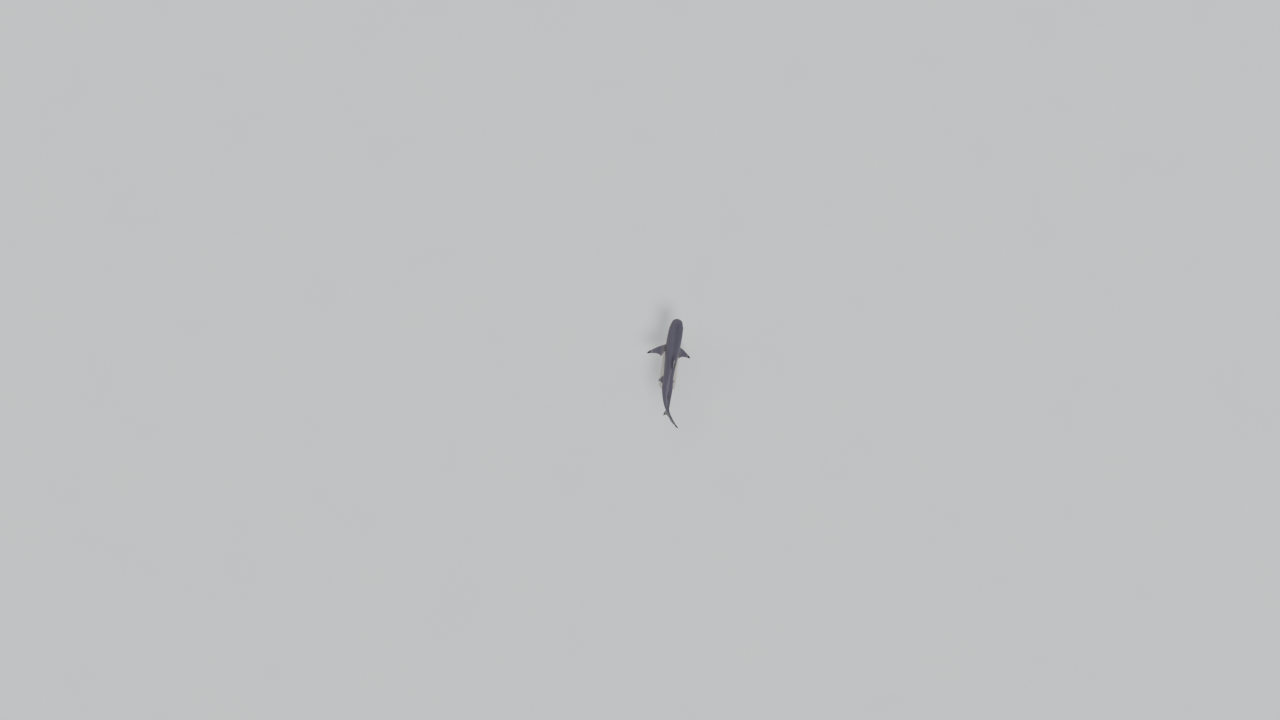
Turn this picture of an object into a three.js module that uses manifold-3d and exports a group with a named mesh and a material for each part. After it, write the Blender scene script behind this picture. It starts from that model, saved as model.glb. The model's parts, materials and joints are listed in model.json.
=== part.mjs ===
// A blacktip reef shark, life size, as a still model on a plain display stand.
// Millimetres, +Z up. The snout points to -Y, and the shark's own left is +X.
// The origin is on the floor, under the middle of the bounding box.
//
// The shark is described straight and level first: "along" runs from the snout to the tail,
// "left" to its own left and "up" from its axis. place() then bends, banks and lifts every point.
// Lengths in the tables are percent of the shark's total length, as in a shark's description.

import * as THREE from "three";
import { mergeVertices } from "three/addons/utils/BufferGeometryUtils.js";
import Module from "manifold-3d";

const wasm = await Module();
wasm.setup();

// ---- Driving sizes ----

const TOTAL_LENGTH = 1200;
const PERCENT = TOTAL_LENGTH / 100;
const GAP = 0.3; // between two pieces that touch
const AXIS_HEIGHT = 330; // of the body's axis above the floor
const HEAD_YAW = THREE.MathUtils.degToRad(2.9); // the head's heading, off the stand's own line
const TAIL_SWING = THREE.MathUtils.degToRad(39); // how far the tail's tip has turned to the right
const SWING_POWER = 3.8; // the bend is nearly all behind the pelvic fins
const BANK = THREE.MathUtils.degToRad(12); // the left side is up, as in a turn to the right
const TAIL_ROLL = THREE.MathUtils.degToRad(14); // how much further the tail's tip is banked
const ROLL_POWER = 2; // the trunk rolls little, and the tail most
const COLUMNS = 26; // points round each section of the body

// ---- Smooth curves through named stations ----

// A cubic curve through values[i] at knots[i], whose slope at a knot is that of its two neighbours.
function smooth(knots, values) {
  const last = knots.length - 1;
  const slope = (i) => {
    const before = Math.max(0, i - 1);
    const after = Math.min(last, i + 1);
    return (values[after] - values[before]) / (knots[after] - knots[before]);
  };
  return (x) => {
    let i = 0;
    while (i < last - 1 && x > knots[i + 1]) i++;
    const width = knots[i + 1] - knots[i];
    const t = THREE.MathUtils.clamp((x - knots[i]) / width, 0, 1);
    const rise = values[i + 1] - values[i];
    const start = slope(i) * width;
    const end = slope(i + 1) * width;
    return values[i] + t * (start + t * (3 * rise - 2 * start - end + t * (start + end - 2 * rise)));
  };
}

function smoothKey(rows, key) {
  return smooth(rows.map((row) => row.at), rows.map((row) => row[key]));
}

// ---- The body's sections, from the snout to the tip of the tail's upper lobe ----

// back and belly are above and below the axis, half is the half width, and mid is the height of the
// widest place. topPower and lowPower are the superellipse's powers: 2 is an ellipse, more is boxier
// and less is leaner.
const SECTIONS = [
  { at: 0, back: 1.4, belly: -2.35, half: 4.0, mid: -0.6, topPower: 2.2, lowPower: 2.6 },
  { at: 3, back: 2.2, belly: -2.75, half: 4.65, mid: -0.75, topPower: 2.2, lowPower: 2.8 },
  { at: 7.5, back: 3.75, belly: -3.75, half: 5.95, mid: -0.85, topPower: 2.1, lowPower: 2.7 },
  { at: 13, back: 4.75, belly: -5.0, half: 6.4, mid: -0.9, topPower: 2.05, lowPower: 2.5 },
  { at: 20, back: 5.55, belly: -6.0, half: 6.35, mid: -0.9, topPower: 2.0, lowPower: 2.4 },
  { at: 31, back: 6.5, belly: -6.7, half: 5.75, mid: -0.8, topPower: 2.0, lowPower: 2.3 },
  { at: 40, back: 6.1, belly: -6.4, half: 5.0, mid: -0.6, topPower: 2.0, lowPower: 2.2 },
  { at: 50, back: 5.0, belly: -5.3, half: 4.4, mid: -0.4, topPower: 2.0, lowPower: 2.1 },
  { at: 60, back: 3.85, belly: -3.9, half: 4.75, mid: -0.1, topPower: 2.0, lowPower: 2.0 },
  { at: 68, back: 2.85, belly: -2.75, half: 3.85, mid: 0, topPower: 2.0, lowPower: 2.0 },
  { at: 75, back: 2.05, belly: -2.0, half: 2.5, mid: 0, topPower: 2.0, lowPower: 2.0 },
  { at: 78, back: 1.95, belly: -2.2, half: 1.6, mid: 0.05, topPower: 1.9, lowPower: 1.8 },
  { at: 82, back: 1.85, belly: -3.2, half: 0.85, mid: 0.2, topPower: 1.7, lowPower: 1.35 },
  { at: 87, back: 1.8, belly: -3.55, half: 0.6, mid: 0.3, topPower: 1.5, lowPower: 1.2 },
  { at: 91, back: 1.65, belly: -2.9, half: 0.48, mid: 0.3, topPower: 1.5, lowPower: 1.2 },
  { at: 93.6, back: 1.45, belly: -2.2, half: 0.42, mid: 0.25, topPower: 1.5, lowPower: 1.2 },
  { at: 94.4, back: 1.4, belly: -1.25, half: 0.4, mid: 0.2, topPower: 1.5, lowPower: 1.2 },
  { at: 95.4, back: 1.3, belly: -2.35, half: 0.38, mid: 0.15, topPower: 1.5, lowPower: 1.2 },
  { at: 97.5, back: 1.0, belly: -1.8, half: 0.33, mid: 0, topPower: 1.5, lowPower: 1.2 },
  { at: 99.4, back: 0.65, belly: -0.9, half: 0.24, mid: -0.1, topPower: 1.5, lowPower: 1.3 },
  { at: 100.4, back: 0.2, belly: -0.35, half: 0.14, mid: -0.1, topPower: 1.6, lowPower: 1.6 },
];
const section = Object.fromEntries(
  ["back", "belly", "half", "mid", "topPower", "lowPower"].map((key) => [key, smoothKey(SECTIONS, key)]),
);
const TIP = SECTIONS[SECTIONS.length - 1].at;
const NOSE = 2.9; // the length over which the snout rounds off
const TAIL_START = 76; // the precaudal pit
const LOBE_LIFT = THREE.MathUtils.degToRad(33); // the upper lobe's rise above the body's axis
const LIFT_LENGTH = 5; // the length over which the axis turns up

// Where the straight axis is at each tenth of a percent, as it turns up into the tail's upper lobe.
function liftAt(at) {
  return LOBE_LIFT * THREE.MathUtils.smoothstep(at, TAIL_START - 1, TAIL_START - 1 + LIFT_LENGTH);
}
const AXIS_STEP = 0.1;
const AXIS = [{ along: 0, up: 0 }];
for (let at = 0; at < TIP + 1; at += AXIS_STEP) {
  const before = AXIS[AXIS.length - 1];
  const lift = liftAt(at + AXIS_STEP / 2);
  AXIS.push({
    along: before.along + AXIS_STEP * Math.cos(lift),
    up: before.up + AXIS_STEP * Math.sin(lift),
  });
}

function axisPoint(at) {
  const place = at / AXIS_STEP;
  const i = Math.min(AXIS.length - 2, Math.max(0, Math.floor(place)));
  return {
    along: THREE.MathUtils.lerp(AXIS[i].along, AXIS[i + 1].along, place - i),
    up: THREE.MathUtils.lerp(AXIS[i].up, AXIS[i + 1].up, place - i),
  };
}

// A point on the straight shark's surface, grown outwards by grow. The angle runs from the back (0)
// over the left side to the belly (pi). The vector holds left, along and up.
function bodyPoint(at, angle, grow = 0, depth = 1) {
  const round = at < NOSE ? Math.sqrt(1 - (1 - at / NOSE) ** 2) : 1;
  const sine = Math.sin(angle);
  const cosine = Math.cos(angle);
  const power = cosine > 0 ? section.topPower(at) : section.lowPower(at);
  const reach = (Math.abs(sine) ** power + Math.abs(cosine) ** power) ** (-1 / power);
  const mid = section.mid(at);
  const rise = cosine > 0 ? section.back(at) - mid : mid - section.belly(at);
  const left = (section.half(at) * round * PERCENT + grow) * depth * reach * sine;
  const up = PERCENT * mid + (rise * round * PERCENT + grow) * depth * reach * cosine;
  const axis = axisPoint(at);
  const lift = liftAt(at);
  return new THREE.Vector3(
    left,
    axis.along * PERCENT - up * Math.sin(lift),
    axis.up * PERCENT + up * Math.cos(lift),
  );
}

function bodyNormal(at, angle) {
  const step = 0.01;
  const along = bodyPoint(at + step, angle).sub(bodyPoint(at - step, angle));
  const round = bodyPoint(at, angle + step).sub(bodyPoint(at, angle - step));
  return round.cross(along).normalize();
}

// ---- Bend, bank and lift ----

function yawAt(along) {
  const share = THREE.MathUtils.clamp(along / TOTAL_LENGTH, 0, 1);
  return HEAD_YAW - TAIL_SWING * share ** SWING_POWER;
}
const SPINE = [new THREE.Vector2(0, 0)];
for (let along = 0; along <= TOTAL_LENGTH; along++) {
  const yaw = yawAt(along + 0.5);
  SPINE.push(SPINE[along].clone().add(new THREE.Vector2(Math.sin(yaw), Math.cos(yaw))));
}

function spinePoint(along) {
  const i = THREE.MathUtils.clamp(Math.floor(along), 0, SPINE.length - 2);
  return SPINE[i].clone().lerp(SPINE[i + 1], along - i);
}

function bankAt(along) {
  const share = THREE.MathUtils.clamp(along / TOTAL_LENGTH, 0, 1);
  return BANK + TAIL_ROLL * share ** ROLL_POWER;
}

// Moves a point of the straight shark to where it is in the pose.
function place(point) {
  const bank = bankAt(point.y);
  const left = point.x * Math.cos(bank) - point.z * Math.sin(bank);
  const up = point.z * Math.cos(bank) + point.x * Math.sin(bank);
  const yaw = yawAt(point.y);
  const spine = spinePoint(point.y);
  return new THREE.Vector3(
    spine.x + left * Math.cos(yaw),
    spine.y - left * Math.sin(yaw),
    AXIS_HEIGHT + up,
  );
}

// ---- Making and cutting solids ----

// A closed skin over rings of points, all with the same number, with a middle point at each end.
function loft(rings, startPoint, endPoint) {
  const count = rings[0].length;
  const middle = (ring) =>
    ring.reduce((sum, point) => sum.add(point), new THREE.Vector3()).divideScalar(ring.length);
  const points = [...rings.flat(), startPoint ?? middle(rings[0]), endPoint ?? middle(rings.at(-1))];
  const startIndex = rings.length * count;
  const faces = [];
  for (let j = 0; j < count; j++) {
    const next = (j + 1) % count;
    faces.push(startIndex, next, j);
    for (let i = 0; i < rings.length - 1; i++) {
      const a = i * count + j;
      const b = i * count + next;
      faces.push(a, b, a + count);
      faces.push(b, b + count, a + count);
    }
    const last = (rings.length - 1) * count;
    faces.push(startIndex + 1, last + j, last + next);
  }
  const geometry = new THREE.BufferGeometry().setFromPoints(points);
  geometry.setIndex(faces);
  return geometry;
}

function toSolid(geometry) {
  geometry.deleteAttribute("normal");
  geometry.deleteAttribute("uv");
  const merged = mergeVertices(geometry, 1e-3);
  const triVerts = new Uint32Array(merged.index.array);
  const vertProperties = merged.attributes.position.array;
  const solid = new wasm.Manifold(new wasm.Mesh({ numProp: 3, vertProperties, triVerts }));
  if (solid.volume() > 0) return solid;
  for (let i = 0; i < triVerts.length; i += 3) triVerts.subarray(i, i + 2).reverse();
  return new wasm.Manifold(new wasm.Mesh({ numProp: 3, vertProperties, triVerts }));
}

function toGeometry(solid) {
  const mesh = solid.getMesh();
  const points = [];
  for (let i = 0; i < mesh.numVert; i++) {
    points.push(new THREE.Vector3().fromArray(mesh.vertProperties, i * mesh.numProp));
  }
  const geometry = new THREE.BufferGeometry().setFromPoints(points);
  geometry.setIndex([...mesh.triVerts]);
  geometry.computeVertexNormals();
  return geometry;
}

// ---- Lengths of the body ----

const RINGS = [0.12, 0.5, 1.1, 1.9, 2.9, 4.4, 5.8, 7.4, 9.2, 11.2, 13.5, 16, 18.6, 21.2, 24, 27, 30];
for (let at = 33.5; at < 76; at += 3.5) RINGS.push(at);
for (let at = 76; at < 93; at += 2) RINGS.push(at);
RINGS.push(93.4, 94, 94.4, 94.9, 95.5, 96.8, 98.2, 99.4, TIP);

function ringAt(at, grow) {
  const ring = [];
  for (let j = 0; j < COLUMNS; j++) ring.push(place(bodyPoint(at, (j / COLUMNS) * 2 * Math.PI, grow)));
  return ring;
}

const CLOSEST = 0.3; // percent, between two rings

// The body between two places along it, grown outwards by grow.
function bodyLength(from, to, grow = 0) {
  const start = Math.max(from, RINGS[0]);
  const between = RINGS.filter((at) => at > start + CLOSEST && at < to - CLOSEST);
  const rings = [start, ...between, to].map((at) => ringAt(at, grow));
  const nose = from === 0 ? place(bodyPoint(0, 0)) : undefined;
  return toSolid(loft(rings, nose));
}

const roomForBody = bodyLength(0, TIP, GAP + 0.1); // a little over the gap, for the flat facets

// ---- Fins ----

// The half thickness of a fin's section at a share of its chord, as a share of its greatest: that of
// the four-digit wing sections, whose front is round and whose rear is thin.
function sectionShape(share) {
  const front = 0.2969 * Math.sqrt(share);
  return 10 * (front - share * (0.126 + share * (0.3516 - share * (0.2843 - share * 0.1015))));
}

// from and to are where the base starts and ends on the body. lead and trail are the edges, from the
// base to the tip, as [chordwise, spanwise] points from the front of the base: the first of lead is
// sunk in the body, and the second of trail is the free rear tip. tipRound is the span over which
// the tip rounds off, thick half the thickness in millimetres at the base and the tip, and bow how
// far the tip is bent up. droop is the angle below level, in degrees.
const FINS = {
  first_dorsal_fin: {
    from: { at: 31.2, angle: 0 },
    to: { at: 40.8, angle: 0 },
    droop: -90,
    lead: [[-1.3, -1.2], [0, 0], [3.2, 3.9], [6.0, 7.5], [8.0, 9.6], [8.8, 10.2]],
    trail: [[9.6, 0], [13.1, 1.3], [10.8, 3.0], [9.9, 5.2], [9.8, 7.8], [10.5, 10.2]],
    tipRound: 1.3,
    thick: [7, 1.3],
    bow: 0,
  },
  second_dorsal_fin: {
    from: { at: 63.3, angle: 0 },
    to: { at: 68, angle: 0 },
    droop: -90,
    lead: [[-1.2, -1.0], [0, 0], [1.6, 1.5], [3.1, 3.0], [4.1, 3.9]],
    trail: [[4.7, 0], [8.0, 0.55], [5.6, 1.5], [4.75, 2.8], [4.7, 3.9]],
    tipRound: 0.5,
    thick: [3.6, 0.9],
    bow: 0,
  },
  anal_fin: {
    from: { at: 63.4, angle: Math.PI },
    to: { at: 68, angle: Math.PI },
    droop: 90,
    lead: [[-1.2, -1.0], [0, 0], [1.9, 1.4], [3.7, 2.9], [5.0, 4.1]],
    trail: [[4.6, 0], [7.8, 0.55], [5.5, 1.3], [4.8, 2.4], [5.7, 4.1]],
    tipRound: 0.5,
    thick: [3.4, 0.9],
    bow: 0,
  },
  pectoral_fin: {
    from: { at: 22.8, angle: 2.06 },
    to: { at: 28.9, angle: 2.17 },
    lead: [[-1.2, -1.6], [0, 0], [2.9, 5.4], [6.2, 10.4], [8.7, 13.8], [9.9, 15.0]],
    trail: [[6.1, 0], [11.2, 2.4], [9.9, 4.8], [9.6, 8.0], [10.3, 12.0], [11.1, 15.0]],
    tipRound: 1.0,
    thick: [9.5, 1.4],
    bow: 0.9,
  },
  pelvic_fin: {
    from: { at: 49, angle: 2.45 },
    to: { at: 53.6, angle: 2.5 },
    lead: [[-0.9, -1.2], [0, 0], [1.9, 2.2], [3.7, 4.1], [4.6, 4.7]],
    trail: [[4.6, 0], [7.6, 1.1], [6.2, 2.2], [5.6, 3.4], [5.4, 4.7]],
    tipRound: 0.6,
    thick: [5, 1.1],
    bow: 0.2,
  },
  caudal_lower_lobe: {
    from: { at: 77.2, angle: Math.PI },
    to: { at: 85.6, angle: Math.PI },
    droop: 90,
    lead: [[-1.5, -1.2], [0, 0], [0.1, 3.2], [0.4, 6.8], [0.9, 9.1], [1.3, 9.9]],
    trail: [[8.0, 0], [7.5, 0.6], [5.3, 2.2], [3.7, 4.5], [2.6, 7.3], [2.6, 9.9]],
    tipRound: 0.9,
    thick: [5, 1],
    bow: 0,
  },
};
const EDGE = 0.35; // half the thickness of a fin's trailing edge
const CHORD_STEPS = 8;
const SPAN_STEPS = 8;
const TIP_MIDDLE = 0.55; // the share of the chord about which a tip rounds off
const TIP_LEFT = 0.11; // of the chord, at the very tip
const THINNING = 0.8; // the power with which a fin thins towards its tip

// Where a fin's section starts and ends along the base line, at a height over its base.
function finOutline(fin) {
  const curve = (points) => smooth(points.map((p) => p[1]), points.map((p) => p[0]));
  const tip = fin.lead.at(-1)[1];
  const lead = curve(fin.lead);
  const [baseEnd, freeTip] = fin.trail;
  const behind = curve(fin.trail.slice(1));
  return (height) => {
    const start = lead(height);
    const inner = THREE.MathUtils.clamp(height / freeTip[1], 0, 1);
    const end = inner < 1 ? THREE.MathUtils.lerp(baseEnd[0], freeTip[0], inner) : behind(height);
    const past = Math.max(0, (height - (tip - fin.tipRound)) / fin.tipRound);
    const left = Math.max(TIP_LEFT, Math.sqrt(Math.max(0, 1 - past * past)));
    const middle = THREE.MathUtils.lerp(start, end, TIP_MIDDLE);
    return [middle + (start - middle) * left, middle + (end - middle) * left];
  };
}

// The heights of a fin's sections: its sunk root, its inner margin, and closer together to the tip.
function finHeights(fin) {
  const tip = fin.lead.at(-1)[1];
  const free = fin.trail[1][1];
  const heights = [fin.lead[0][1], 0, free * 0.6];
  for (let i = 0; i <= SPAN_STEPS; i++) {
    heights.push(THREE.MathUtils.lerp(free, tip, Math.sin((i / SPAN_STEPS) * (Math.PI / 2))));
  }
  return heights;
}

// side is 1 on the left and -1 on the right, droop the angle below level, and sweep turns the fin
// back about the front of its base. All the angles are in degrees.
function finSolid(fin, side = 1, droop = fin.droop, sweep = 0) {
  const front = bodyPoint(fin.from.at, fin.from.angle);
  const chord = bodyPoint(fin.to.at, fin.to.angle).sub(front).normalize();
  const angle = THREE.MathUtils.degToRad(droop);
  const outward = new THREE.Vector3(Math.cos(angle), 0, -Math.sin(angle));
  const span = outward.addScaledVector(chord, -outward.dot(chord)).normalize();
  const across = new THREE.Vector3().crossVectors(chord, span);
  const turn = new THREE.Quaternion().setFromAxisAngle(across, -THREE.MathUtils.degToRad(sweep));
  const shares = [];
  for (let k = 0; k <= CHORD_STEPS; k++) shares.push((1 - Math.cos((k / CHORD_STEPS) * Math.PI)) / 2);
  const outline = finOutline(fin);
  const tip = fin.lead.at(-1)[1];
  const rings = finHeights(fin).map((height) => {
    const [start, end] = outline(height);
    const share = Math.max(0, height / tip);
    const thick = THREE.MathUtils.lerp(fin.thick[0], fin.thick[1], share ** THINNING);
    const lean = -fin.bow * PERCENT * share * share;
    const point = (along, face) => {
      const half = Math.max(thick * sectionShape(along), along > 0 ? EDGE : 0);
      return new THREE.Vector3()
        .addScaledVector(chord, THREE.MathUtils.lerp(start, end, along) * PERCENT)
        .addScaledVector(span, height * PERCENT)
        .applyQuaternion(turn)
        .add(front)
        .addScaledVector(across, face * half + lean);
    };
    const upper = shares.map((along) => point(along, 1));
    const lower = shares.slice(1).map((along) => point(along, -1));
    return [...upper, ...lower.reverse()].map((p) => place(p.setX(side * p.x)));
  });
  return toSolid(loft(rings));
}

// ---- Head ----

// Sizes in millimetres. sunk is the depth of the middle under the skin, and slant a turn on it.
const EYE = { at: 7.3, angle: 1.27, length: 31, height: 22, depth: 14, sunk: 4.6, slant: 0 };
const NOSTRIL = { at: 3.1, angle: 2.42, length: 20, height: 3, depth: 8, sunk: 0, slant: 0.75 };
// The mouth's arch and the piece of throat behind it, in percent. roof is the height of the top.
const MOUTH = { front: 5.3, corner: 9.9, half: 4.1, back: 13.6, roofFront: -1.9, roofBack: -3.0 };
const MOUTH_GAP = 0.8;
const THROAT_ROUNDING = { back: 12, side: 0.3 }; // of the jaw's rear corners, mm and share of width
const BELOW_BODY = -10; // percent, lower than any of the body
// at is a slit's place along the body, and top and bottom are the angles at its ends.
const GILLS = [
  { at: 18.3, top: 1.38, bottom: 1.98 },
  { at: 19.6, top: 1.35, bottom: 2.0 },
  { at: 20.85, top: 1.36, bottom: 1.93 },
  { at: 21.95, top: 1.38, bottom: 1.81 },
  { at: 22.95, top: 1.4, bottom: 1.72 },
];
const GILL_WIDTH = 1.4;
const GILL_SLANT = 0.25; // percent that the bottom of a slit lies behind its top
const GILL_BOW = 0.12; // percent that its middle lies behind its ends
const GILL_TAPER = 0.35; // its width at the ends, as a share of the middle's
const GILL_FLOOR = 0.93; // the depth of its floor, as a share of the way out to the skin
const OVER_SKIN = 1.03;

// An ellipsoid in the skin, with its length along the body, grown outwards by grow.
function ellipsoidSolid(size, side, grow = 0) {
  const normal = bodyNormal(size.at, size.angle);
  const along = new THREE.Vector3(0, 1, 0).addScaledVector(normal, -normal.y).normalize();
  const across = new THREE.Vector3().crossVectors(normal, along);
  const basis = new THREE.Matrix4().makeBasis(along, across, normal);
  const geometry = new THREE.SphereGeometry(0.5, 14, 8).rotateX(Math.PI / 2);
  geometry.scale(size.length + 2 * grow, size.height + 2 * grow, size.depth + 2 * grow);
  geometry.rotateZ(size.slant);
  geometry.applyMatrix4(basis);
  const centre = bodyPoint(size.at, size.angle).addScaledVector(normal, -size.sunk);
  geometry.translate(centre.x, centre.y, centre.z);
  const points = geometry.attributes.position;
  for (let i = 0; i < points.count; i++) {
    const point = new THREE.Vector3().fromBufferAttribute(points, i);
    point.x *= side;
    points.setXYZ(i, ...place(point));
  }
  return toSolid(geometry);
}

// The block under the mouth's arch: what it holds of the head is the lower jaw.
function jawBlock(grow) {
  const half = MOUTH.half * PERCENT + grow;
  const arch = (share) => MOUTH.front + (MOUTH.corner - MOUTH.front) * share * share;
  const outline = [];
  const steps = 12;
  for (let i = 0; i <= steps; i++) {
    const share = (i / steps) * 2 - 1;
    outline.push([share * half, arch(share) * PERCENT - grow]);
  }
  const back = MOUTH.back * PERCENT + grow;
  const inner = half * (1 - THROAT_ROUNDING.side);
  const before = back - THROAT_ROUNDING.back;
  outline.push([half, before], [inner, back], [-inner, back], [-half, before]);
  const roof = (along) => {
    const share = (along / PERCENT - MOUTH.front) / (MOUTH.back - MOUTH.front);
    return THREE.MathUtils.lerp(MOUTH.roofFront, MOUTH.roofBack, share) * PERCENT + grow;
  };
  const level = (up) => outline.map(([left, along]) => place(new THREE.Vector3(left, along, up(along))));
  return toSolid(loft([level(() => BELOW_BODY * PERCENT), level(roof)]));
}

// A thin curved wedge through the skin for one gill slit.
function gillCut(gill, side) {
  const steps = 3;
  const rings = [];
  for (let i = 0; i <= steps; i++) {
    const share = i / steps;
    const angle = THREE.MathUtils.lerp(gill.top, gill.bottom, share);
    const bulge = Math.sin(share * Math.PI);
    const at = gill.at + GILL_SLANT * (share - 0.5) + GILL_BOW * bulge;
    const half = (GILL_WIDTH / PERCENT / 2) * THREE.MathUtils.lerp(GILL_TAPER, 1, bulge);
    const corner = (shift, depth) => {
      const point = bodyPoint(at + shift, angle, 0, depth);
      point.x *= side;
      return place(point);
    };
    rings.push([
      corner(-half, GILL_FLOOR),
      corner(half, GILL_FLOOR),
      corner(half, OVER_SKIN),
      corner(-half, OVER_SKIN),
    ]);
  }
  return toSolid(loft(rings));
}

// ---- Stand ----

const BASE = { width: 160, length: 460, thick: 18, corner: 36, bevel: 3 };
const ROD_RADIUS = 6;
const ROD_PLACES = { front: 28.5, rear: 56 };
const COLLAR = { radius: 19, height: 9, bevel: 2.5 };

function rodSpot(at) {
  return place(new THREE.Vector3(0, at * PERCENT, 0));
}

function baseMiddle() {
  return rodSpot(ROD_PLACES.front).add(rodSpot(ROD_PLACES.rear)).multiplyScalar(0.5);
}

function baseSolid() {
  const { width, length, thick, corner, bevel } = BASE;
  const x = width / 2 - bevel;
  const y = length / 2 - bevel;
  const r = corner - bevel;
  const shape = new THREE.Shape();
  shape.absarc(x - r, y - r, r, 0, Math.PI / 2);
  shape.absarc(r - x, y - r, r, Math.PI / 2, Math.PI);
  shape.absarc(r - x, r - y, r, Math.PI, Math.PI * 1.5);
  shape.absarc(x - r, r - y, r, Math.PI * 1.5, Math.PI * 2);
  const geometry = new THREE.ExtrudeGeometry(shape, {
    depth: thick - 2 * bevel,
    bevelThickness: bevel,
    bevelSize: bevel,
    bevelSegments: 1,
    curveSegments: 6,
  });
  const middle = baseMiddle();
  return toSolid(geometry.translate(middle.x, middle.y, bevel));
}

function rodSolid(at) {
  const spot = rodSpot(at);
  const bottom = BASE.thick + GAP;
  const rod = new THREE.CylinderGeometry(ROD_RADIUS, ROD_RADIUS, spot.z - bottom, 24);
  rod.rotateX(Math.PI / 2).translate(spot.x, spot.y, (spot.z + bottom) / 2);
  return toSolid(rod).subtract(roomForBody);
}

function collarSolid(at) {
  const spot = rodSpot(at);
  const { radius, height, bevel } = COLLAR;
  const inner = ROD_RADIUS + GAP;
  const profile = [
    [inner, 0],
    [radius, 0],
    [radius, height - bevel],
    [radius - bevel, height],
    [inner, height],
    [inner, 0],
  ].map(([x, y]) => new THREE.Vector2(x, y));
  const geometry = new THREE.LatheGeometry(profile, 20).rotateX(Math.PI / 2);
  return toSolid(geometry.translate(spot.x, spot.y, BASE.thick + GAP));
}

// ---- The pieces ----

const COLOURS = {
  back: { color: 0x5a5560, roughness: 0.5 },
  fin: { color: 0x544f5a, roughness: 0.5 },
  jaw: { color: 0xd9d5cc, roughness: 0.5 },
  eye: { color: 0x1c1a17, roughness: 0.08 },
  base: { color: 0xb0aca4, roughness: 0.45 },
  metal: { color: 0xb9bcc0, roughness: 0.3, metalness: 1 },
};
const solids = {};
const looks = {};

function add(name, solid, look) {
  solids[name] = solid;
  looks[name] = look;
}

// The body's lengths, from the snout to the upper lobe of the tail.
const LENGTHS = [
  ["snout", 0, 4.7],
  ["head", 4.7, 16.6],
  ["gill_region", 16.6, 24.4],
  ["fore_trunk", 24.4, 43],
  ["rear_trunk", 43, 61],
  ["tail_stem", 61, TAIL_START],
  ["caudal_upper_lobe", TAIL_START, TIP],
];
const HALF_GAP = GAP / PERCENT / 2;
for (const [name, from, to] of LENGTHS) {
  const start = from === 0 ? 0 : from + HALF_GAP;
  const end = to === TIP ? TIP : to - HALF_GAP;
  add(name, bodyLength(start, end), "back");
}

for (const side of [1, -1]) {
  const hand = side > 0 ? "left" : "right";
  add("eye_" + hand, ellipsoidSolid(EYE, side), "eye");
  solids.head = solids.head.subtract(ellipsoidSolid(EYE, side, GAP));
  solids.snout = solids.snout.subtract(ellipsoidSolid(NOSTRIL, side));
  for (const gill of GILLS) solids.gill_region = solids.gill_region.subtract(gillCut(gill, side));
}
add("lower_jaw", solids.head.intersect(jawBlock(0)), "jaw");
solids.head = solids.head.subtract(jawBlock(MOUTH_GAP));

const addFin = (name, fin, ...how) => add(name, finSolid(fin, ...how).subtract(roomForBody), "fin");
addFin("first_dorsal_fin", FINS.first_dorsal_fin);
addFin("second_dorsal_fin", FINS.second_dorsal_fin);
addFin("anal_fin", FINS.anal_fin);
addFin("pectoral_fin_left", FINS.pectoral_fin, 1, 22, -4);
addFin("pectoral_fin_right", FINS.pectoral_fin, -1, 30, -9);
addFin("pelvic_fin_left", FINS.pelvic_fin, 1, 30, 0);
addFin("pelvic_fin_right", FINS.pelvic_fin, -1, 18, 0);
addFin("caudal_lower_lobe", FINS.caudal_lower_lobe);

add("stand_base", baseSolid(), "base");
for (const [name, at] of Object.entries(ROD_PLACES)) {
  add("stand_rod_" + name, rodSolid(at), "metal");
  add("stand_collar_" + name, collarSolid(at), "metal");
}

// ---- The group, with its origin on the floor under the middle of its box ----

const shark = new THREE.Group();
for (const [name, solid] of Object.entries(solids)) {
  const mesh = new THREE.Mesh(toGeometry(solid), new THREE.MeshStandardMaterial(COLOURS[looks[name]]));
  mesh.name = name;
  shark.add(mesh);
}
const box = new THREE.Box3().setFromObject(shark);
const middle = box.getCenter(new THREE.Vector3());
for (const mesh of shark.children) mesh.position.set(-middle.x, -middle.y, 0);

export default shark;
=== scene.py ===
# A blacktip reef shark, life size, banked in a gentle right turn over a plain display stand.
#
# The skin is one closed grid of quads. It is laid out on the straight, level shark, where "at" is a
# place along the body in percent of its length and "angle" runs from the back (0) over the left side
# to the belly (pi). The fins grow out of openings in that grid, and place() then bends and banks it.
import json
from math import atan2, cos, pi, radians, sin, tau

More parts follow.
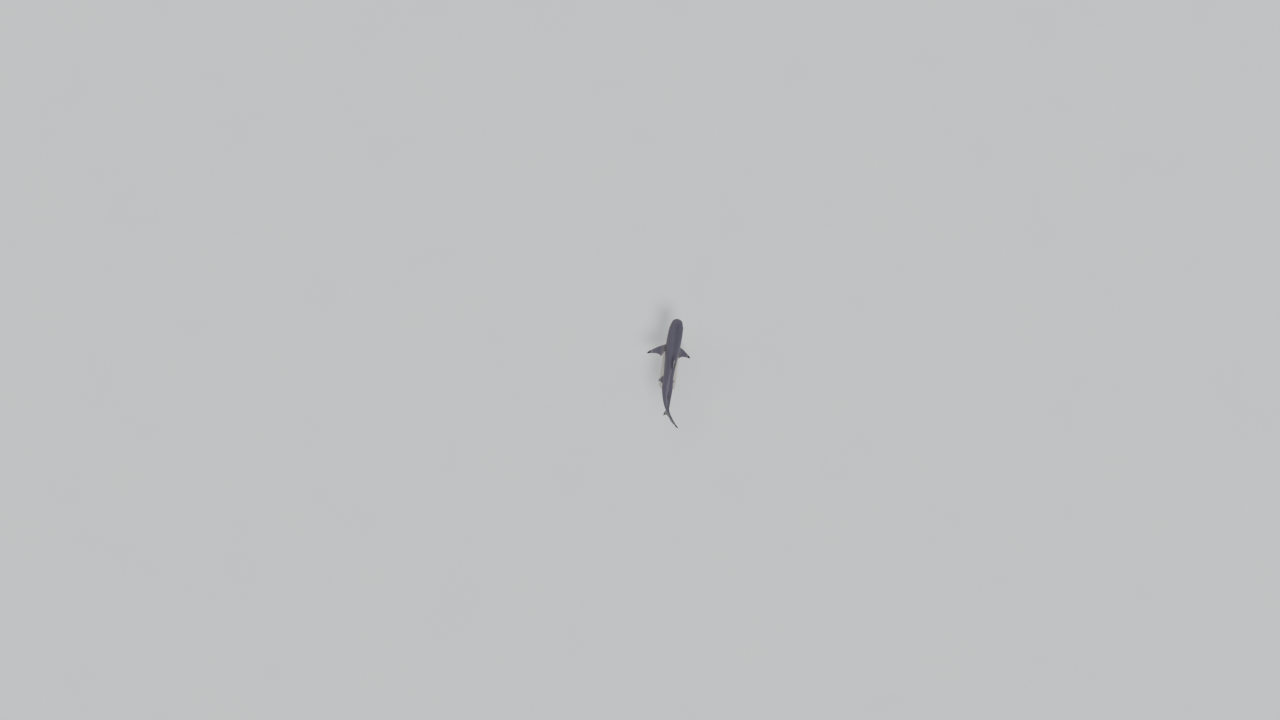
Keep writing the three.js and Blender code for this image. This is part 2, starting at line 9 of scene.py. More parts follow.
import bmesh
import bpy
import numpy as np
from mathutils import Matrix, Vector

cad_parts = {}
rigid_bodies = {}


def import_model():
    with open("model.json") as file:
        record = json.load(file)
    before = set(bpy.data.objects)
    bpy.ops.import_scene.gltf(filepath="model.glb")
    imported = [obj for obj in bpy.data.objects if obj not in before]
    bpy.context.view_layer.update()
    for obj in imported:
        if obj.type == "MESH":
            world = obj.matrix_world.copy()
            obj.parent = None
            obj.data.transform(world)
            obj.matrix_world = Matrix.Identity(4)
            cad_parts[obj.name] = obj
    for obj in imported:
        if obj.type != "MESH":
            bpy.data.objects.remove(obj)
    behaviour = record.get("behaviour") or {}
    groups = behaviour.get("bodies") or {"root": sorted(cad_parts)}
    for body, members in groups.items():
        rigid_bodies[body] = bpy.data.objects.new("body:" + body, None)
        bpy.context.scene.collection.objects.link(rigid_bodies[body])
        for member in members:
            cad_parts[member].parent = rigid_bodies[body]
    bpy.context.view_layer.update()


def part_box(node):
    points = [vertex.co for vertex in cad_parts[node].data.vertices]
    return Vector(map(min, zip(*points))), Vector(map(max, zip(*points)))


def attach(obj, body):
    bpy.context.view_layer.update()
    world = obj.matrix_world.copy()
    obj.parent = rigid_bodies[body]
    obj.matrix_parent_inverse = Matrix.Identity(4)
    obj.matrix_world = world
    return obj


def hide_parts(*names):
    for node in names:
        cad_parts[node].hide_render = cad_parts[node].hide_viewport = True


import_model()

MM = 0.001

# ---- Driving sizes, as the solids have them. Millimetres, or percent of the total length ----

TOTAL_LENGTH = 1200
PERCENT = TOTAL_LENGTH / 100
AXIS_HEIGHT = 330
HEAD_YAW = radians(2.9)
TAIL_SWING = radians(39)
SWING_POWER = 3.8
BANK = radians(12)
TAIL_ROLL = radians(14)
ROLL_POWER = 2
NOSE = 2.9  # the length over which the snout rounds off
TAIL_ROUND = 0.4  # the length over which the tail's tip rounds off
LOBE_LIFT = radians(33)  # how steeply the tail's upper lobe rises
LIFT_START = 75
LIFT_LENGTH = 5

# at, back, belly, half width, middle, upper power, lower power. The powers shape the section: 2 is
# an ellipse, more is squarer and less is sharper.
SECTIONS = np.array([
    (0, 1.4, -2.35, 4.0, -0.6, 2.2, 2.6),
    (3, 2.2, -2.75, 4.65, -0.75, 2.2, 2.8),
    (7.5, 3.75, -3.75, 5.95, -0.85, 2.1, 2.7),
    (13, 4.75, -5.0, 6.4, -0.9, 2.05, 2.5),
    (20, 5.55, -6.0, 6.35, -0.9, 2.0, 2.4),
    (31, 6.5, -6.7, 5.75, -0.8, 2.0, 2.3),
    (40, 6.1, -6.4, 5.0, -0.6, 2.0, 2.2),
    (50, 5.0, -5.3, 4.4, -0.4, 2.0, 2.1),
    (60, 3.85, -3.9, 4.75, -0.1, 2.0, 2.0),
    (68, 2.85, -2.75, 3.85, 0, 2.0, 2.0),
    (75, 2.05, -2.0, 2.5, 0, 2.0, 2.0),
    (78, 1.95, -2.2, 1.6, 0.05, 1.9, 1.8),
    (82, 1.85, -3.2, 0.85, 0.2, 1.7, 1.35),
    (87, 1.8, -3.55, 0.6, 0.3, 1.5, 1.2),
    (91, 1.65, -2.9, 0.48, 0.3, 1.5, 1.2),
    (93.6, 1.45, -2.2, 0.42, 0.25, 1.5, 1.2),
    (94.4, 1.4, -1.25, 0.4, 0.2, 1.5, 1.2),
    (95.4, 1.3, -2.35, 0.38, 0.15, 1.5, 1.2),
    (97.5, 1.0, -1.8, 0.33, 0, 1.5, 1.2),
    (99.4, 0.65, -0.9, 0.24, -0.1, 1.5, 1.3),
    (100.4, 0.2, -0.35, 0.14, -0.1, 1.6, 1.6),
])
TIP = SECTIONS[-1, 0]


def smooth(knots, values):
    """A cubic curve through the values, whose slope at a knot is that of its two neighbours."""
    x, y = np.array(knots, float), np.array(values, float)
    order = np.arange(len(x))
    before, after = np.maximum(order - 1, 0), np.minimum(order + 1, len(x) - 1)
    slope = (y[after] - y[before]) / (x[after] - x[before])

    def curve(place_on_it):
        q = np.asarray(place_on_it, float)
        i = np.clip(np.searchsorted(x, q, side="right") - 1, 0, len(x) - 2)
        width = x[i + 1] - x[i]
        t = np.clip((q - x[i]) / width, 0, 1)
        rise = y[i + 1] - y[i]
        start, end = slope[i] * width, slope[i + 1] * width
        return y[i] + t * (start + t * (3 * rise - 2 * start - end + t * (start + end - 2 * rise)))

    return curve


def step(x, low, high):
    """0 below low, 1 above high, and smooth between."""
    t = np.clip((np.asarray(x, float) - low) / (high - low), 0, 1)
    return t * t * (3 - 2 * t)


def between(x, rise, fall):
    """1 between two ramps, each given by its ends, and 0 outside them."""
    return step(x, *rise) * (1 - step(x, *fall))


def soft_min(a, b, soft):
    """The lower of two values, with the bend from one to the other rounded off."""
    return np.minimum(a, b) - soft * np.log1p(np.exp(-np.abs(a - b) / soft))


def hill(distance, width):
    return np.exp(-((distance / width) ** 2))


def mix(a, b, t):
    return a + (b - a) * t


def wrapped(angle):
    """The angle from -pi to pi."""
    return np.mod(angle + pi, 2 * pi) - pi


def folded(angle):
    """The angle from the back on either side, from 0 to pi."""
    return pi - np.abs(pi - np.mod(angle, 2 * pi))


def unit(v):
    return v / np.maximum(np.linalg.norm(v, axis=-1, keepdims=True), 1e-9)


def running_sum(steps):
    return np.concatenate(([0], np.cumsum(steps)))


back_at, belly_at, half_at, mid_at, top_power_at, low_power_at = (
    smooth(SECTIONS[:, 0], SECTIONS[:, column]) for column in range(1, 7)
)


def lift_at(at):
    return LOBE_LIFT * step(at, LIFT_START, LIFT_START + LIFT_LENGTH)


AXIS_STEP = 0.1
AXIS_MIDDLES = (np.arange(int((TIP + 1) / AXIS_STEP)) + 0.5) * AXIS_STEP
AXIS_AT = np.arange(len(AXIS_MIDDLES) + 1) * AXIS_STEP
AXIS_ALONG = running_sum(AXIS_STEP * np.cos(lift_at(AXIS_MIDDLES)))
AXIS_UP = running_sum(AXIS_STEP * np.sin(lift_at(AXIS_MIDDLES)))


def body_point(at, angle, grow=0.0):
    """Points of the straight shark's surface, grown outwards: left, along and up."""
    at, angle, grow = np.broadcast_arrays(np.asarray(at, float), angle, grow)
    nose = np.clip(at / NOSE, 0, 1)
    tail = np.clip((TIP - at) / TAIL_ROUND, 0, 1)
    rounded = np.sqrt((1 - (1 - nose) ** 2) * (1 - (1 - tail) ** 2))
    sine, cosine = np.sin(angle), np.cos(angle)
    power = np.where(cosine > 0, top_power_at(at), low_power_at(at))
    reach = (np.abs(sine) ** power + np.abs(cosine) ** power) ** (-1 / power)
    mid = mid_at(at)
    rise = np.where(cosine > 0, back_at(at) - mid, mid - belly_at(at))
    left = (half_at(at) * rounded * PERCENT + grow) * reach * sine
    up = PERCENT * mid + (rise * rounded * PERCENT + grow) * reach * cosine
    lift = lift_at(at)
    along = np.interp(at, AXIS_AT, AXIS_ALONG) * PERCENT - up * np.sin(lift)
    height = np.interp(at, AXIS_AT, AXIS_UP) * PERCENT + up * np.cos(lift)
    return np.stack([left, along, height], -1)


def body_slopes(at, angle):
    """How far the surface moves for each percent along it, and for each radian round it."""
    small = 0.01
    at, angle = np.asarray(at, float), np.asarray(angle, float)
    along = (body_point(at + small, angle) - body_point(at - small, angle)) / (2 * small)
    around = (body_point(at, angle + small) - body_point(at, angle - small)) / (2 * small)
    return along, around


def body_normal(at, angle):
    along, around = body_slopes(at, angle)
    return unit(np.cross(around, along))


def spot_scale(at, angle):
    """The millimetres to a percent along the skin, and to a radian round it."""
    along, around = body_slopes(at, angle)
    return np.linalg.norm(along), np.linalg.norm(around)


# ---- The pose ----

SPINE_AT = np.arange(TOTAL_LENGTH + 2, dtype=float)


def yaw_at(along):
    return HEAD_YAW - TAIL_SWING * np.clip(along / TOTAL_LENGTH, 0, 1) ** SWING_POWER


SPINE_X = running_sum(np.sin(yaw_at(SPINE_AT[:-1] + 0.5)))
SPINE_Y = running_sum(np.cos(yaw_at(SPINE_AT[:-1] + 0.5)))


def bend(points):
    """The straight shark's points in the pose, before the model is centred."""
    side, along, up = points[..., 0], points[..., 1], points[..., 2]
    bank = BANK + TAIL_ROLL * np.clip(along / TOTAL_LENGTH, 0, 1) ** ROLL_POWER
    left = side * np.cos(bank) - up * np.sin(bank)
    height = up * np.cos(bank) + side * np.sin(bank)
    yaw = yaw_at(along)
    x = np.interp(along, SPINE_AT, SPINE_X) + left * np.cos(yaw)
    y = np.interp(along, SPINE_AT, SPINE_Y) - left * np.sin(yaw)
    return np.stack([x, y, AXIS_HEIGHT + height], -1)


def box(node):
    """The low and the high corner of a solid's box, in millimetres."""
    return [np.array(corner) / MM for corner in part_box(node)]


# The solids are centred on the floor. The base, midway between the rods, tells how far they moved.
ROD_PLACES = {"front": 28.5, "rear": 56}
BASE_MIDDLE = sum(box("stand_base")) / 2
RODS_MIDDLE = sum(bend(np.array([0, at * PERCENT, 0.0])) for at in ROD_PLACES.values()) / 2
SHIFT = (BASE_MIDDLE - RODS_MIDDLE) * [1, 1, 0]


def place(points):
    return (bend(np.asarray(points, float)) + SHIFT) * MM


# ---- The mouth and the gill slits, as lines of the grid ----

MOUTH = {"front": 5.3, "middle": 7.5, "corner": 9.9, "half": 4.1}
GILLS = [  # at, the angles at the top and the bottom
    (18.3, 1.38, 1.98), (19.6, 1.35, 2.0), (20.85, 1.36, 1.93), (21.95, 1.38, 1.81), (22.95, 1.4, 1.72),
]
GILL_SLANT = 0.34


def side_reach(angle):
    """How far out from the middle a column lies at the mouth, in percent."""
    return np.abs(body_point(MOUTH["middle"], angle)[..., 0]) / PERCENT


def mouth_arch(angle):
    """How far the mouth's line lies behind its front, in percent. Past the corners it levels out."""
    share = soft_min((side_reach(angle) / MOUTH["half"]) ** 2, 1.2, 0.12)
    return (MOUTH["corner"] - MOUTH["front"]) * share * step(folded(angle), 1.45, 2.1)


def mouth_share(at):
    """How much of the arch a ring follows: all of it at the mouth's front."""
    return between(at, (3.5, MOUTH["front"]), (MOUTH["front"], 17))


def gill_shift(at, angle):
    """How far a ring at the gills leans back below, in percent."""
    share = between(at, (16.5, 18), (23.4, 25))
    return share * GILL_SLANT * (step(folded(angle), 1.2, 2.2) - 0.5)


COLUMNS = 160
PITCH = 2 * pi / COLUMNS
NOSE_RINGS = 30
SPACINGS = [  # where a stretch of rings ends, and the millimetres from one ring to the next
    (3.6, 1.5), (5.3, 0.7), (17, 1.8), (25, 2.4), (61, 3.4), (76, 3.0),
    (92.8, 2.6), (96, 1.5), (98.5, 2.2), (TIP - TAIL_ROUND, 1.2),
]
# The rings close to the mouth and each gill slit, in millimetres behind it, and the least gap
# between these and the others.
MOUTH_LINES = (-3.0, -1.7, -0.9, -0.4, 0, 0.4, 0.9, 1.7, 3.0)
GILL_LINES = (-4.2, -2.4, -1.1, -0.4, 0, 0.3, 0.75, 1.5, 2.8)
LINE_GAP = 0.7


def ring_places():
    """The rings of the grid, closest at the mouth and the gill slits."""
    turn = np.linspace(0, pi / 2, NOSE_RINGS + 1)[1:]
    places = list(NOSE * (1 - np.cos(turn)))
    for end, spacing in SPACINGS:
        count = round((end - places[-1]) * PERCENT / spacing)
        places += list(np.linspace(places[-1], end, count + 1)[1:])
    places += list(TIP - TAIL_ROUND * (1 - np.sin(turn[3::4])))
    for centre, offsets in [(MOUTH["front"], MOUTH_LINES)] + [(slit, GILL_LINES) for slit, _, _ in GILLS]:
        close = centre + np.array(offsets) / PERCENT
        low, high = close[0] - LINE_GAP / PERCENT, close[-1] + LINE_GAP / PERCENT
        places = [p for p in places if p < low or p > high] + list(close)
    return np.array(sorted(places))


# ---- Relief: how far the skin stands out of the plain body, in millimetres ----

GILL_FLAP = 1.5
GILL_DROP = 3.0
FORMS = {  # height, middle and length along the body in percent, middle and width as angles
    "brow": (1.3, 7.2, 1.7, 1.0, 0.13),
    "hollow_cheek": (-0.8, 11, 2.6, 1.45, 0.3),
    "gill_chamber": (1.6, 20.5, 3.4, 1.75, 0.42),
    "pit_above_tail": (-3.0, 75.4, 0.42, 0, 0.55),
    "pit_below_tail": (-1.6, 76.0, 0.4, pi, 0.5),
    "tail_keel": (0.5, 72, 5, pi / 2, 0.18),
}
MUSCLE = {"height": 0.14, "length": 1.35, "zigzag": 0.9}


def gill_relief(at, angle):
    """Each slit: the skin swells into a flap before it, drops at its edge and rises again. It also gives the
    share of painted shade just inside each slit.
    """
    relief = deep = 0
    turn = folded(angle)
    for slit, top, bottom in GILLS:
        behind = (at - slit) * PERCENT
        window = between(turn, (top - 0.04, top + 0.09), (bottom - 0.1, bottom + 0.04))
        flap = GILL_FLAP * step(behind, -9, -0.5) ** 2 * (behind <= 0.05)
        drop = -GILL_DROP * (1 - step(behind, 0.3, 7.5)) * (behind > 0.05)
        relief += window * (flap + drop)
        # painted shade just inside the slit's edge
        deep = np.maximum(deep, window * hill(behind - 0.5, 1.5))
    return relief, deep


def mouth_relief(at, angle):
    """A groove between the lips, the lower one set back, and a short furrow at each corner, with painted
    shade in the groove and the furrows.
    """
    behind = (at - MOUTH["front"]) * PERCENT
    half, side = MOUTH["half"], side_reach(angle)
    window = (1 - step(side, half - 0.2, half + 0.35)) * step(folded(angle), 1.9, 2.2)
    upper = 1.3 * hill(behind + 2.8, 2.9) * (behind < 0)
    groove = -3.4 * hill(behind, 0.8)
    lower = (-1.5 * hill(behind - 1.5, 3.4) + 1.0 * hill(behind - 17, 9)) * (behind > 0)
    corner = step(side, half - 0.95, half - 0.25)
    furrow = -1.3 * hill(behind + 1.7 + 2.6 * (half - side), 0.75) * corner
    # painted shade in the groove and down the corner furrows
    dark = np.maximum(hill(behind, 1.2), 0.5 * corner * (furrow < -0.5))
    return window * (upper + groove + lower + furrow), window * dark


def broad_relief(at, angle):
    """The broad forms, and the faint blocks of muscle along the trunk."""
    turn = folded(angle)
    relief = 0
    for height, middle, length, middle_turn, width in FORMS.values():
        relief += height * hill(at - middle, length) * hill(turn - middle_turn, width)
    trunk = between(at, (26, 34), (70, 76))
    zigzag = at - MUSCLE["zigzag"] * np.abs(np.mod(turn * 2.2, 2) - 1)
    waves = np.sin(zigzag * 2 * pi / MUSCLE["length"])
    return relief + MUSCLE["height"] * trunk * waves * np.sin(turn) ** 2


# ---- The grid, and the openings in it for fins, eyes and nostrils ----


class Grid:
    """Rings by columns of places on the body, some of whose cells are left open."""

    def __init__(self):
        self.rings = ring_places()
        ring, angle = np.meshgrid(self.rings, np.arange(COLUMNS) * PITCH, indexing="ij")
        self.ring_at, self.column_angle = ring, angle
        self.at = ring + mouth_share(ring) * mouth_arch(angle) + gill_shift(ring, angle)
        self.angle = angle.copy()
        self.open_cells = np.zeros(ring.shape, bool)

    def opening(self, at, angle, half_long, half_wide, slant=0.0, turned=False, fade=14, taper=1.0):
        """Bends the lines round an oval, opens the block of cells in it and returns its edge.

        The half sizes and the fade of the bend are in millimetres. A turned oval's points start
        from the slant, and a taper under 1 makes its ends blunt. The edge is the rings and columns
        of its points, and their places on a unit circle, where x is -1 at the front."""
        long_mm, wide_mm = spot_scale(at, angle)
        share = sin(slant) ** 2 if turned else 0
        block_long, block_wide = mix(half_long, half_wide, share), mix(half_wide, half_long, share)
        middle = round(angle / PITCH)
        columns = max(3, round(block_wide / wide_mm / PITCH))
        line = self.at[:, middle % COLUMNS]
        first = int(np.argmin(np.abs(line - (at - block_long / long_mm))))
        last = int(np.argmin(np.abs(line - (at + block_long / long_mm))))
        line_middle, half_line = (line[first] + line[last]) / 2, (line[last] - line[first]) / 2
        x = (line - line_middle) / half_line
        y = (np.mod(np.arange(COLUMNS) - middle + COLUMNS / 2, COLUMNS) - COLUMNS / 2) / columns
        x, y = np.meshgrid(x, y, indexing="ij")
        past = np.maximum((np.abs(x) - 1) * block_long, (np.abs(y) - 1) * block_wide)
        hold = 1 - step(past, 0, fade)
        r = np.maximum(np.maximum(np.abs(x), np.abs(y)), 1e-6)
        x, y = x / r, y / r
        circle_x = x * (1 - taper * (1 - np.sqrt(1 - y * y / 2)))
        circle_y = y * np.sqrt(1 - x * x / 2)
        offset_long, offset_wide = oval(circle_x, circle_y, half_long, half_wide, slant, turned)
        self.at += hold * (at + offset_long / long_mm - line_middle - x * half_line)
        self.angle += hold * (angle + offset_wide / wide_mm - (middle + y * columns) * PITCH)
        open_columns = (middle + np.arange(-columns, columns)) % COLUMNS
        self.open_cells[np.ix_(range(first, last), open_columns)] = True
        edge = [(first, j) for j in range(columns + 1)]
        edge += [(i, columns) for i in range(first + 1, last + 1)]
        edge += [(last, j) for j in range(columns - 1, -columns - 1, -1)]
        edge += [(i, -columns) for i in range(last - 1, first - 1, -1)]
        edge += [(first, j) for j in range(-columns + 1, 0)]
        rows, cols = np.array(edge).T
        cols = (middle + cols) % COLUMNS
        circle = np.stack([circle_x[rows, cols], circle_y[rows, cols]], -1)
        return rows, cols, circle


def oval(x, y, half_long, half_wide, slant, turned):
    """A unit circle's points as millimetres along and round the body, for an oval with a slant."""
    c, s = cos(slant), sin(slant)
    if turned:
        x, y = x * c + y * s, y * c - x * s
    x, y = x * half_long, y * half_wide
    return x * c - y * s, x * s + y * c


def cell_corners(grid):
    """The four corners of each cell, in order round it."""
    return grid[:-1, :-1], grid[:-1, 1:], grid[1:, 1:], grid[1:, :-1]


FAR = 60.0  # the marks tell distances up to this, in millimetres


class Skin:
    """The growing mesh: points with their marks, and faces with their UVs."""

    # The marks, with what each is on a point that isn't given it. white and ink: how far inside the
    # pale and the black parts. halo: the strength of a fin's pale band. deep: the share of
    # painted shade down a slit, a groove or a pocket.
    # line: the distance from the lateral line. along: the place along the body. turn: the shade, as
    # an angle from the back. ray: the place across a fin. rays: the strength of its rays.
    MARKS = {
        "white": -FAR, "ink": -FAR, "halo": 0.0, "deep": 0.0, "line": FAR,
        "along": 0.5, "turn": 0.9, "ray": 0.0, "rays": 0.0,
    }

    def __init__(self):
        self.points, self.faces, self.face_uvs, self.count = [], [], [], 0
        self.marks = {name: [] for name in self.MARKS}
        self.atlas = Atlas()

    def add_points(self, points, **marks):
        """Adds points and returns their numbers, in the same shape."""
        shape = points.shape[:-1]
        number = int(np.prod(shape))
        self.points.append(points.reshape(-1, 3))
        for name, usual in self.MARKS.items():
            self.marks[name].append(np.broadcast_to(marks.get(name, usual), shape).reshape(-1))
        ids = np.arange(self.count, self.count + number).reshape(shape)
        self.count += number
        return ids

    def add_quads(self, ids, uvs, keep=None):
        """Quads between rows and columns of ids, all round if uvs has one more column. Where two
        corners are one point, the face has three."""
        closed = uvs.shape[1] == ids.shape[1] + 1
        ring = np.concatenate([ids, ids[:, :1]], 1) if closed else ids
        faces = np.stack(cell_corners(ring), -1).reshape(-1, 4)
        face_uvs = np.stack(cell_corners(uvs), -2).reshape(-1, 4, 2)
        if keep is not None:
            faces, face_uvs = faces[keep.reshape(-1)], face_uvs[keep.reshape(-1)]
        for face, face_uv in zip(faces.tolist(), face_uvs.tolist()):
            pairs = [pair for n, pair in enumerate(zip(face, face_uv)) if face[n] != face[n - 1]]
            self.faces.append([pair[0] for pair in pairs])
            self.face_uvs += [pair[1] for pair in pairs]

    def add_fan(self, point, ring, uvs, middle_uv, **marks):
        """Triangles from a ring of ids to a new point in its middle."""
        middle = self.add_points(point, **marks)
        for n, (this, following) in enumerate(zip(ring, np.roll(ring, -1))):
            self.faces.append([int(middle), int(this), int(following)])
            self.face_uvs += [middle_uv, uvs[n], uvs[n + 1]]


class Atlas:
    """Places each part's patch in the UV map at one scale, on shelves from the bottom up."""

    SIZE = 1300.0  # the map's side, in millimetres of skin
    GUTTER = 8.0

    def __init__(self):
        self.x = self.y = self.shelf = 0.0

    def patch(self, wide, high, across, up):
        """UVs for shares across by shares up of a new patch of that size."""
        if self.x + wide > self.SIZE:
            self.x, self.y, self.shelf = 0.0, self.y + self.shelf + self.GUTTER, 0.0
        left, low = self.x, self.y
        self.x += wide + self.GUTTER
        self.shelf = max(self.shelf, high)
        v, u = np.meshgrid(up, across, indexing="ij")
        return np.stack([(left + u * wide) / self.SIZE, (low + v * high) / self.SIZE], -1)


# ---- Markings ----

SNOUT_EDGE = -14  # the height of the belly's edge on the front of the snout, in millimetres
SNOUT_TURN = 1.0  # the shade of the snout's front, as of that angle round the body
BELLY_EDGE = smooth(
    [0, 4, 8, 14, 18.5, 21.7, 28.6, 36, 44, 54, 62, 72, 76, 79, 82],
    [1.9, 1.95, 1.82, 1.78, 1.88, 2.1, 2.2, 2.24, 2.24, 2.14, 2.06, 2.08, 2.25, 2.75, 3.4],
)
STRIPE_MIDDLE = smooth([29, 40, 50, 60], [1.78, 1.83, 1.9, 2.12])
STRIPE_HALF = smooth([22, 27, 31, 36, 43, 52, 60], [-0.9, -0.25, -0.08, 0.01, 0.08, 0.13, 0.03])
STRIPE_END = 60
TAIL_MARGIN = smooth([83.5, 87.5, 92, 95, 97], [-8, 2.5, 5, 9, 14])
TAIL_INK_START = 79
TAIL_BLACK_TIP = 97.3
LINE_HEIGHT = smooth([14, 24, 45, 60, 76, 96], [1.12, 1.25, 1.42, 1.5, 1.55, 1.2])


def upper_radius(at):
    return PERCENT * (half_at(at) + back_at(at)) / 2


def body_white(at, angle):
    """How far inside the pale belly or the flank stripe a place is, in millimetres."""
    turn = folded(angle)
    radius = upper_radius(at)
    under_snout = SNOUT_EDGE - body_point(at, angle)[..., 2]
    belly = mix(under_snout, (turn - BELLY_EDGE(at)) * radius, step(at, 0.5, 5))
    stripe = (STRIPE_HALF(at) - np.abs(turn - STRIPE_MIDDLE(at))) * radius - FAR * (at > STRIPE_END)
    return np.clip(np.maximum(belly, stripe), -FAR, FAR)


def tail_ink(at, angle):
    """How far inside the black edge of the tail's upper lobe a place is, in millimetres."""
    low = (1 - np.cos(pi - folded(angle))) * (mid_at(at) - belly_at(at)) * PERCENT
    ink = np.maximum(TAIL_MARGIN(at) - low, (at - TAIL_BLACK_TIP) * PERCENT)
    return np.clip(np.where(at > TAIL_INK_START, ink, -FAR), -FAR, FAR)


def lateral_line(at, angle):
    """The distance from the lateral line, in millimetres. The line fades in behind the head."""
    start = 40 * (1 - step(at, 13, 24)) ** 2
    return np.abs(folded(angle) - LINE_HEIGHT(at)) * upper_radius(at) + start


# ---- Fins ----

# from and to: the ends of the base, each a place and an angle. lead and trail: the edges from the
# front of the base, along and across it. tip_round: the span over which the tip rounds off. thick:
# half the thickness in millimetres, at the base and the tip. bow: the tip's upward bend. black: the
# share of the span where the black tip begins. halo: the strength of the pale band below it.
# fillet: the reach of the blend into the body. turn: the shade, as of that angle round the body.
# sides: how far inside the white the two faces are, in millimetres.
FINS = {
    "first_dorsal_fin": {
        "from": (31.2, 0), "to": (40.8, 0), "droop": -90,
        "lead": [(-1.3, -1.2), (0, 0), (3.2, 3.9), (6.0, 7.5), (8.0, 9.6), (8.8, 10.2)],
        "trail": [(9.6, 0), (13.1, 1.3), (10.8, 3.0), (9.9, 5.2), (9.8, 7.8), (10.5, 10.2)],
        "tip_round": 1.3, "thick": (7, 1.3),
        "black": 0.68, "halo": 0.7, "fillet": 6.5, "turn": 0.6,
    },
    "second_dorsal_fin": {
        "from": (63.3, 0), "to": (68, 0), "droop": -90,
        "lead": [(-1.2, -1.0), (0, 0), (1.6, 1.5), (3.1, 3.0), (4.1, 3.9)],
        "trail": [(4.7, 0), (8.0, 0.55), (5.6, 1.5), (4.75, 2.8), (4.7, 3.9)],
        "tip_round": 0.5, "thick": (3.6, 0.9),
        "black": 0.6, "halo": 0.14, "fillet": 3.2, "turn": 0.7,
    },
    "anal_fin": {
        "from": (63.4, pi), "to": (68, pi), "droop": 90,
        "lead": [(-1.2, -1.0), (0, 0), (1.9, 1.4), (3.7, 2.9), (5.0, 4.1)],
        "trail": [(4.6, 0), (7.8, 0.55), (5.5, 1.3), (4.8, 2.4), (5.7, 4.1)],
        "tip_round": 0.5, "thick": (3.4, 0.9),
        "black": 0.66, "halo": 0.2, "fillet": 3.2, "turn": 1.9, "sides": (14, 14),
    },
    "pectoral_fin": {
        "from": (22.8, 2.06), "to": (28.9, 2.17), "droop": 22,
        "lead": [(-1.2, -1.6), (0, 0), (2.9, 5.4), (6.2, 10.4), (8.7, 13.8), (9.9, 15.0)],
        "trail": [(6.1, 0), (11.2, 2.4), (9.9, 4.8), (9.6, 8.0), (10.3, 12.0), (11.1, 15.0)],
        "tip_round": 1.0, "thick": (9.5, 1.4), "bow": 0.9,
        "black": 0.8, "halo": 0.1, "fillet": 6.0, "turn": 0.7, "sides": (-FAR, 40),
    },
    "pelvic_fin": {
        "from": (49, 2.45), "to": (53.6, 2.5), "droop": 30,
        "lead": [(-0.9, -1.2), (0, 0), (1.9, 2.2), (3.7, 4.1), (4.6, 4.7)],
        "trail": [(4.6, 0), (7.6, 1.1), (6.2, 2.2), (5.6, 3.4), (5.4, 4.7)],
        "tip_round": 0.6, "thick": (5, 1.1), "bow": 0.2,
        "black": 0.8, "halo": 0.15, "fillet": 3.5, "turn": 0.9, "sides": (-40, 40),
    },
    "caudal_lower_lobe": {
        "from": (77.2, pi), "to": (85.6, pi), "droop": 90,
        "lead": [(-1.5, -1.2), (0, 0), (0.1, 3.2), (0.4, 6.8), (0.9, 9.1), (1.3, 9.9)],
        "trail": [(8.0, 0), (7.5, 0.6), (5.3, 2.2), (3.7, 4.5), (2.6, 7.3), (2.6, 9.9)],
        "tip_round": 0.9, "thick": (5, 1),
        "black": 0.44, "halo": 0.25, "fillet": 2.0, "turn": 0.8,
    },
}
EDGE = 0.35  # half the thickness of a fin's rear edge, in millimetres
FREE_TIP_ROUND = 0.045  # how round the free rear tip is, as a share of its length
TIP_MIDDLE = 0.55  # the share of the chord that the tip closes on, and how much of it is left
TIP_LEFT = 0.11
THINNING = 0.8
ROOT = 0.35  # the share of the span over which the body's shades give way to the fin's
INK_SLANT = 4  # how much less black there is at the rear edge, in millimetres
RIM = (4, 3)  # the dark rims of the pale underside, in front and behind, away from the root
ROOT_PALE = 16
FILLET_ROWS = (0.16, 0.34, 0.53, 0.72, 0.88)
FREE_ROWS = 9
SPAN_ROWS = 44


def section_shape(share):
    """Half the thickness of a four-digit wing section, as a share of its greatest."""
    front = 0.2969 * np.sqrt(share)
    return 10 * (front - share * (0.126 + share * (0.3516 - share * (0.2843 - share * 0.1015))))


def fin_outline(fin, height):
    """Where a fin's section starts and ends along its base line, at a height over the base."""
    lead, trail = np.array(fin["lead"], float), np.array(fin["trail"], float)
    tip = lead[-1, 1]
    start = smooth(lead[:, 1], lead[:, 0])(height)
    behind = smooth(trail[1:, 1], trail[1:, 0])(height)
    free = trail[1, 0] - trail[0, 0]
    margin = trail[0, 0] + free * height / trail[1, 1]
    if free > 0:
        end = soft_min(margin, behind, FREE_TIP_ROUND * free)
    else:
        end = np.where(height < trail[1, 1], margin, behind)
    past = np.clip((height - (tip - fin["tip_round"])) / fin["tip_round"], 0, 1)
    left = np.maximum(TIP_LEFT, np.sqrt(1 - past**2))
    middle = mix(start, end, TIP_MIDDLE)
    return mix(middle, start, left), mix(middle, end, left)


def fin_axes(fin, droop, sweep):
    """The front of the base, and the directions along the chord, along the span and across."""
    front = body_point(*fin["from"])
    chord = unit(body_point(*fin["to"]) - front)
    angle = radians(droop)
    outward = np.array([cos(angle), 0, -sin(angle)])
    span = unit(outward - chord * outward.dot(chord))
    across = np.cross(chord, span)
    turn = radians(-sweep)
    turned_chord = chord * cos(turn) + span * sin(turn)
    turned_span = span * cos(turn) - chord * sin(turn)
    return front, turned_chord, turned_span, across


def fin_heights(fin):
    """The heights of a fin's rows, from just over the body to the tip, in percent."""
    tip, free = fin["lead"][-1][1], fin["trail"][1][1]
    first = min(fin["fillet"] / PERCENT, free * 0.6)
    inner = first + (free - first) * np.sin(np.linspace(0, pi / 2, FREE_ROWS))[:-1]
    outer = free + (tip - free) * (1 - np.cos(np.linspace(0, pi, SPAN_ROWS))) / 2
    return np.concatenate([inner, outer])


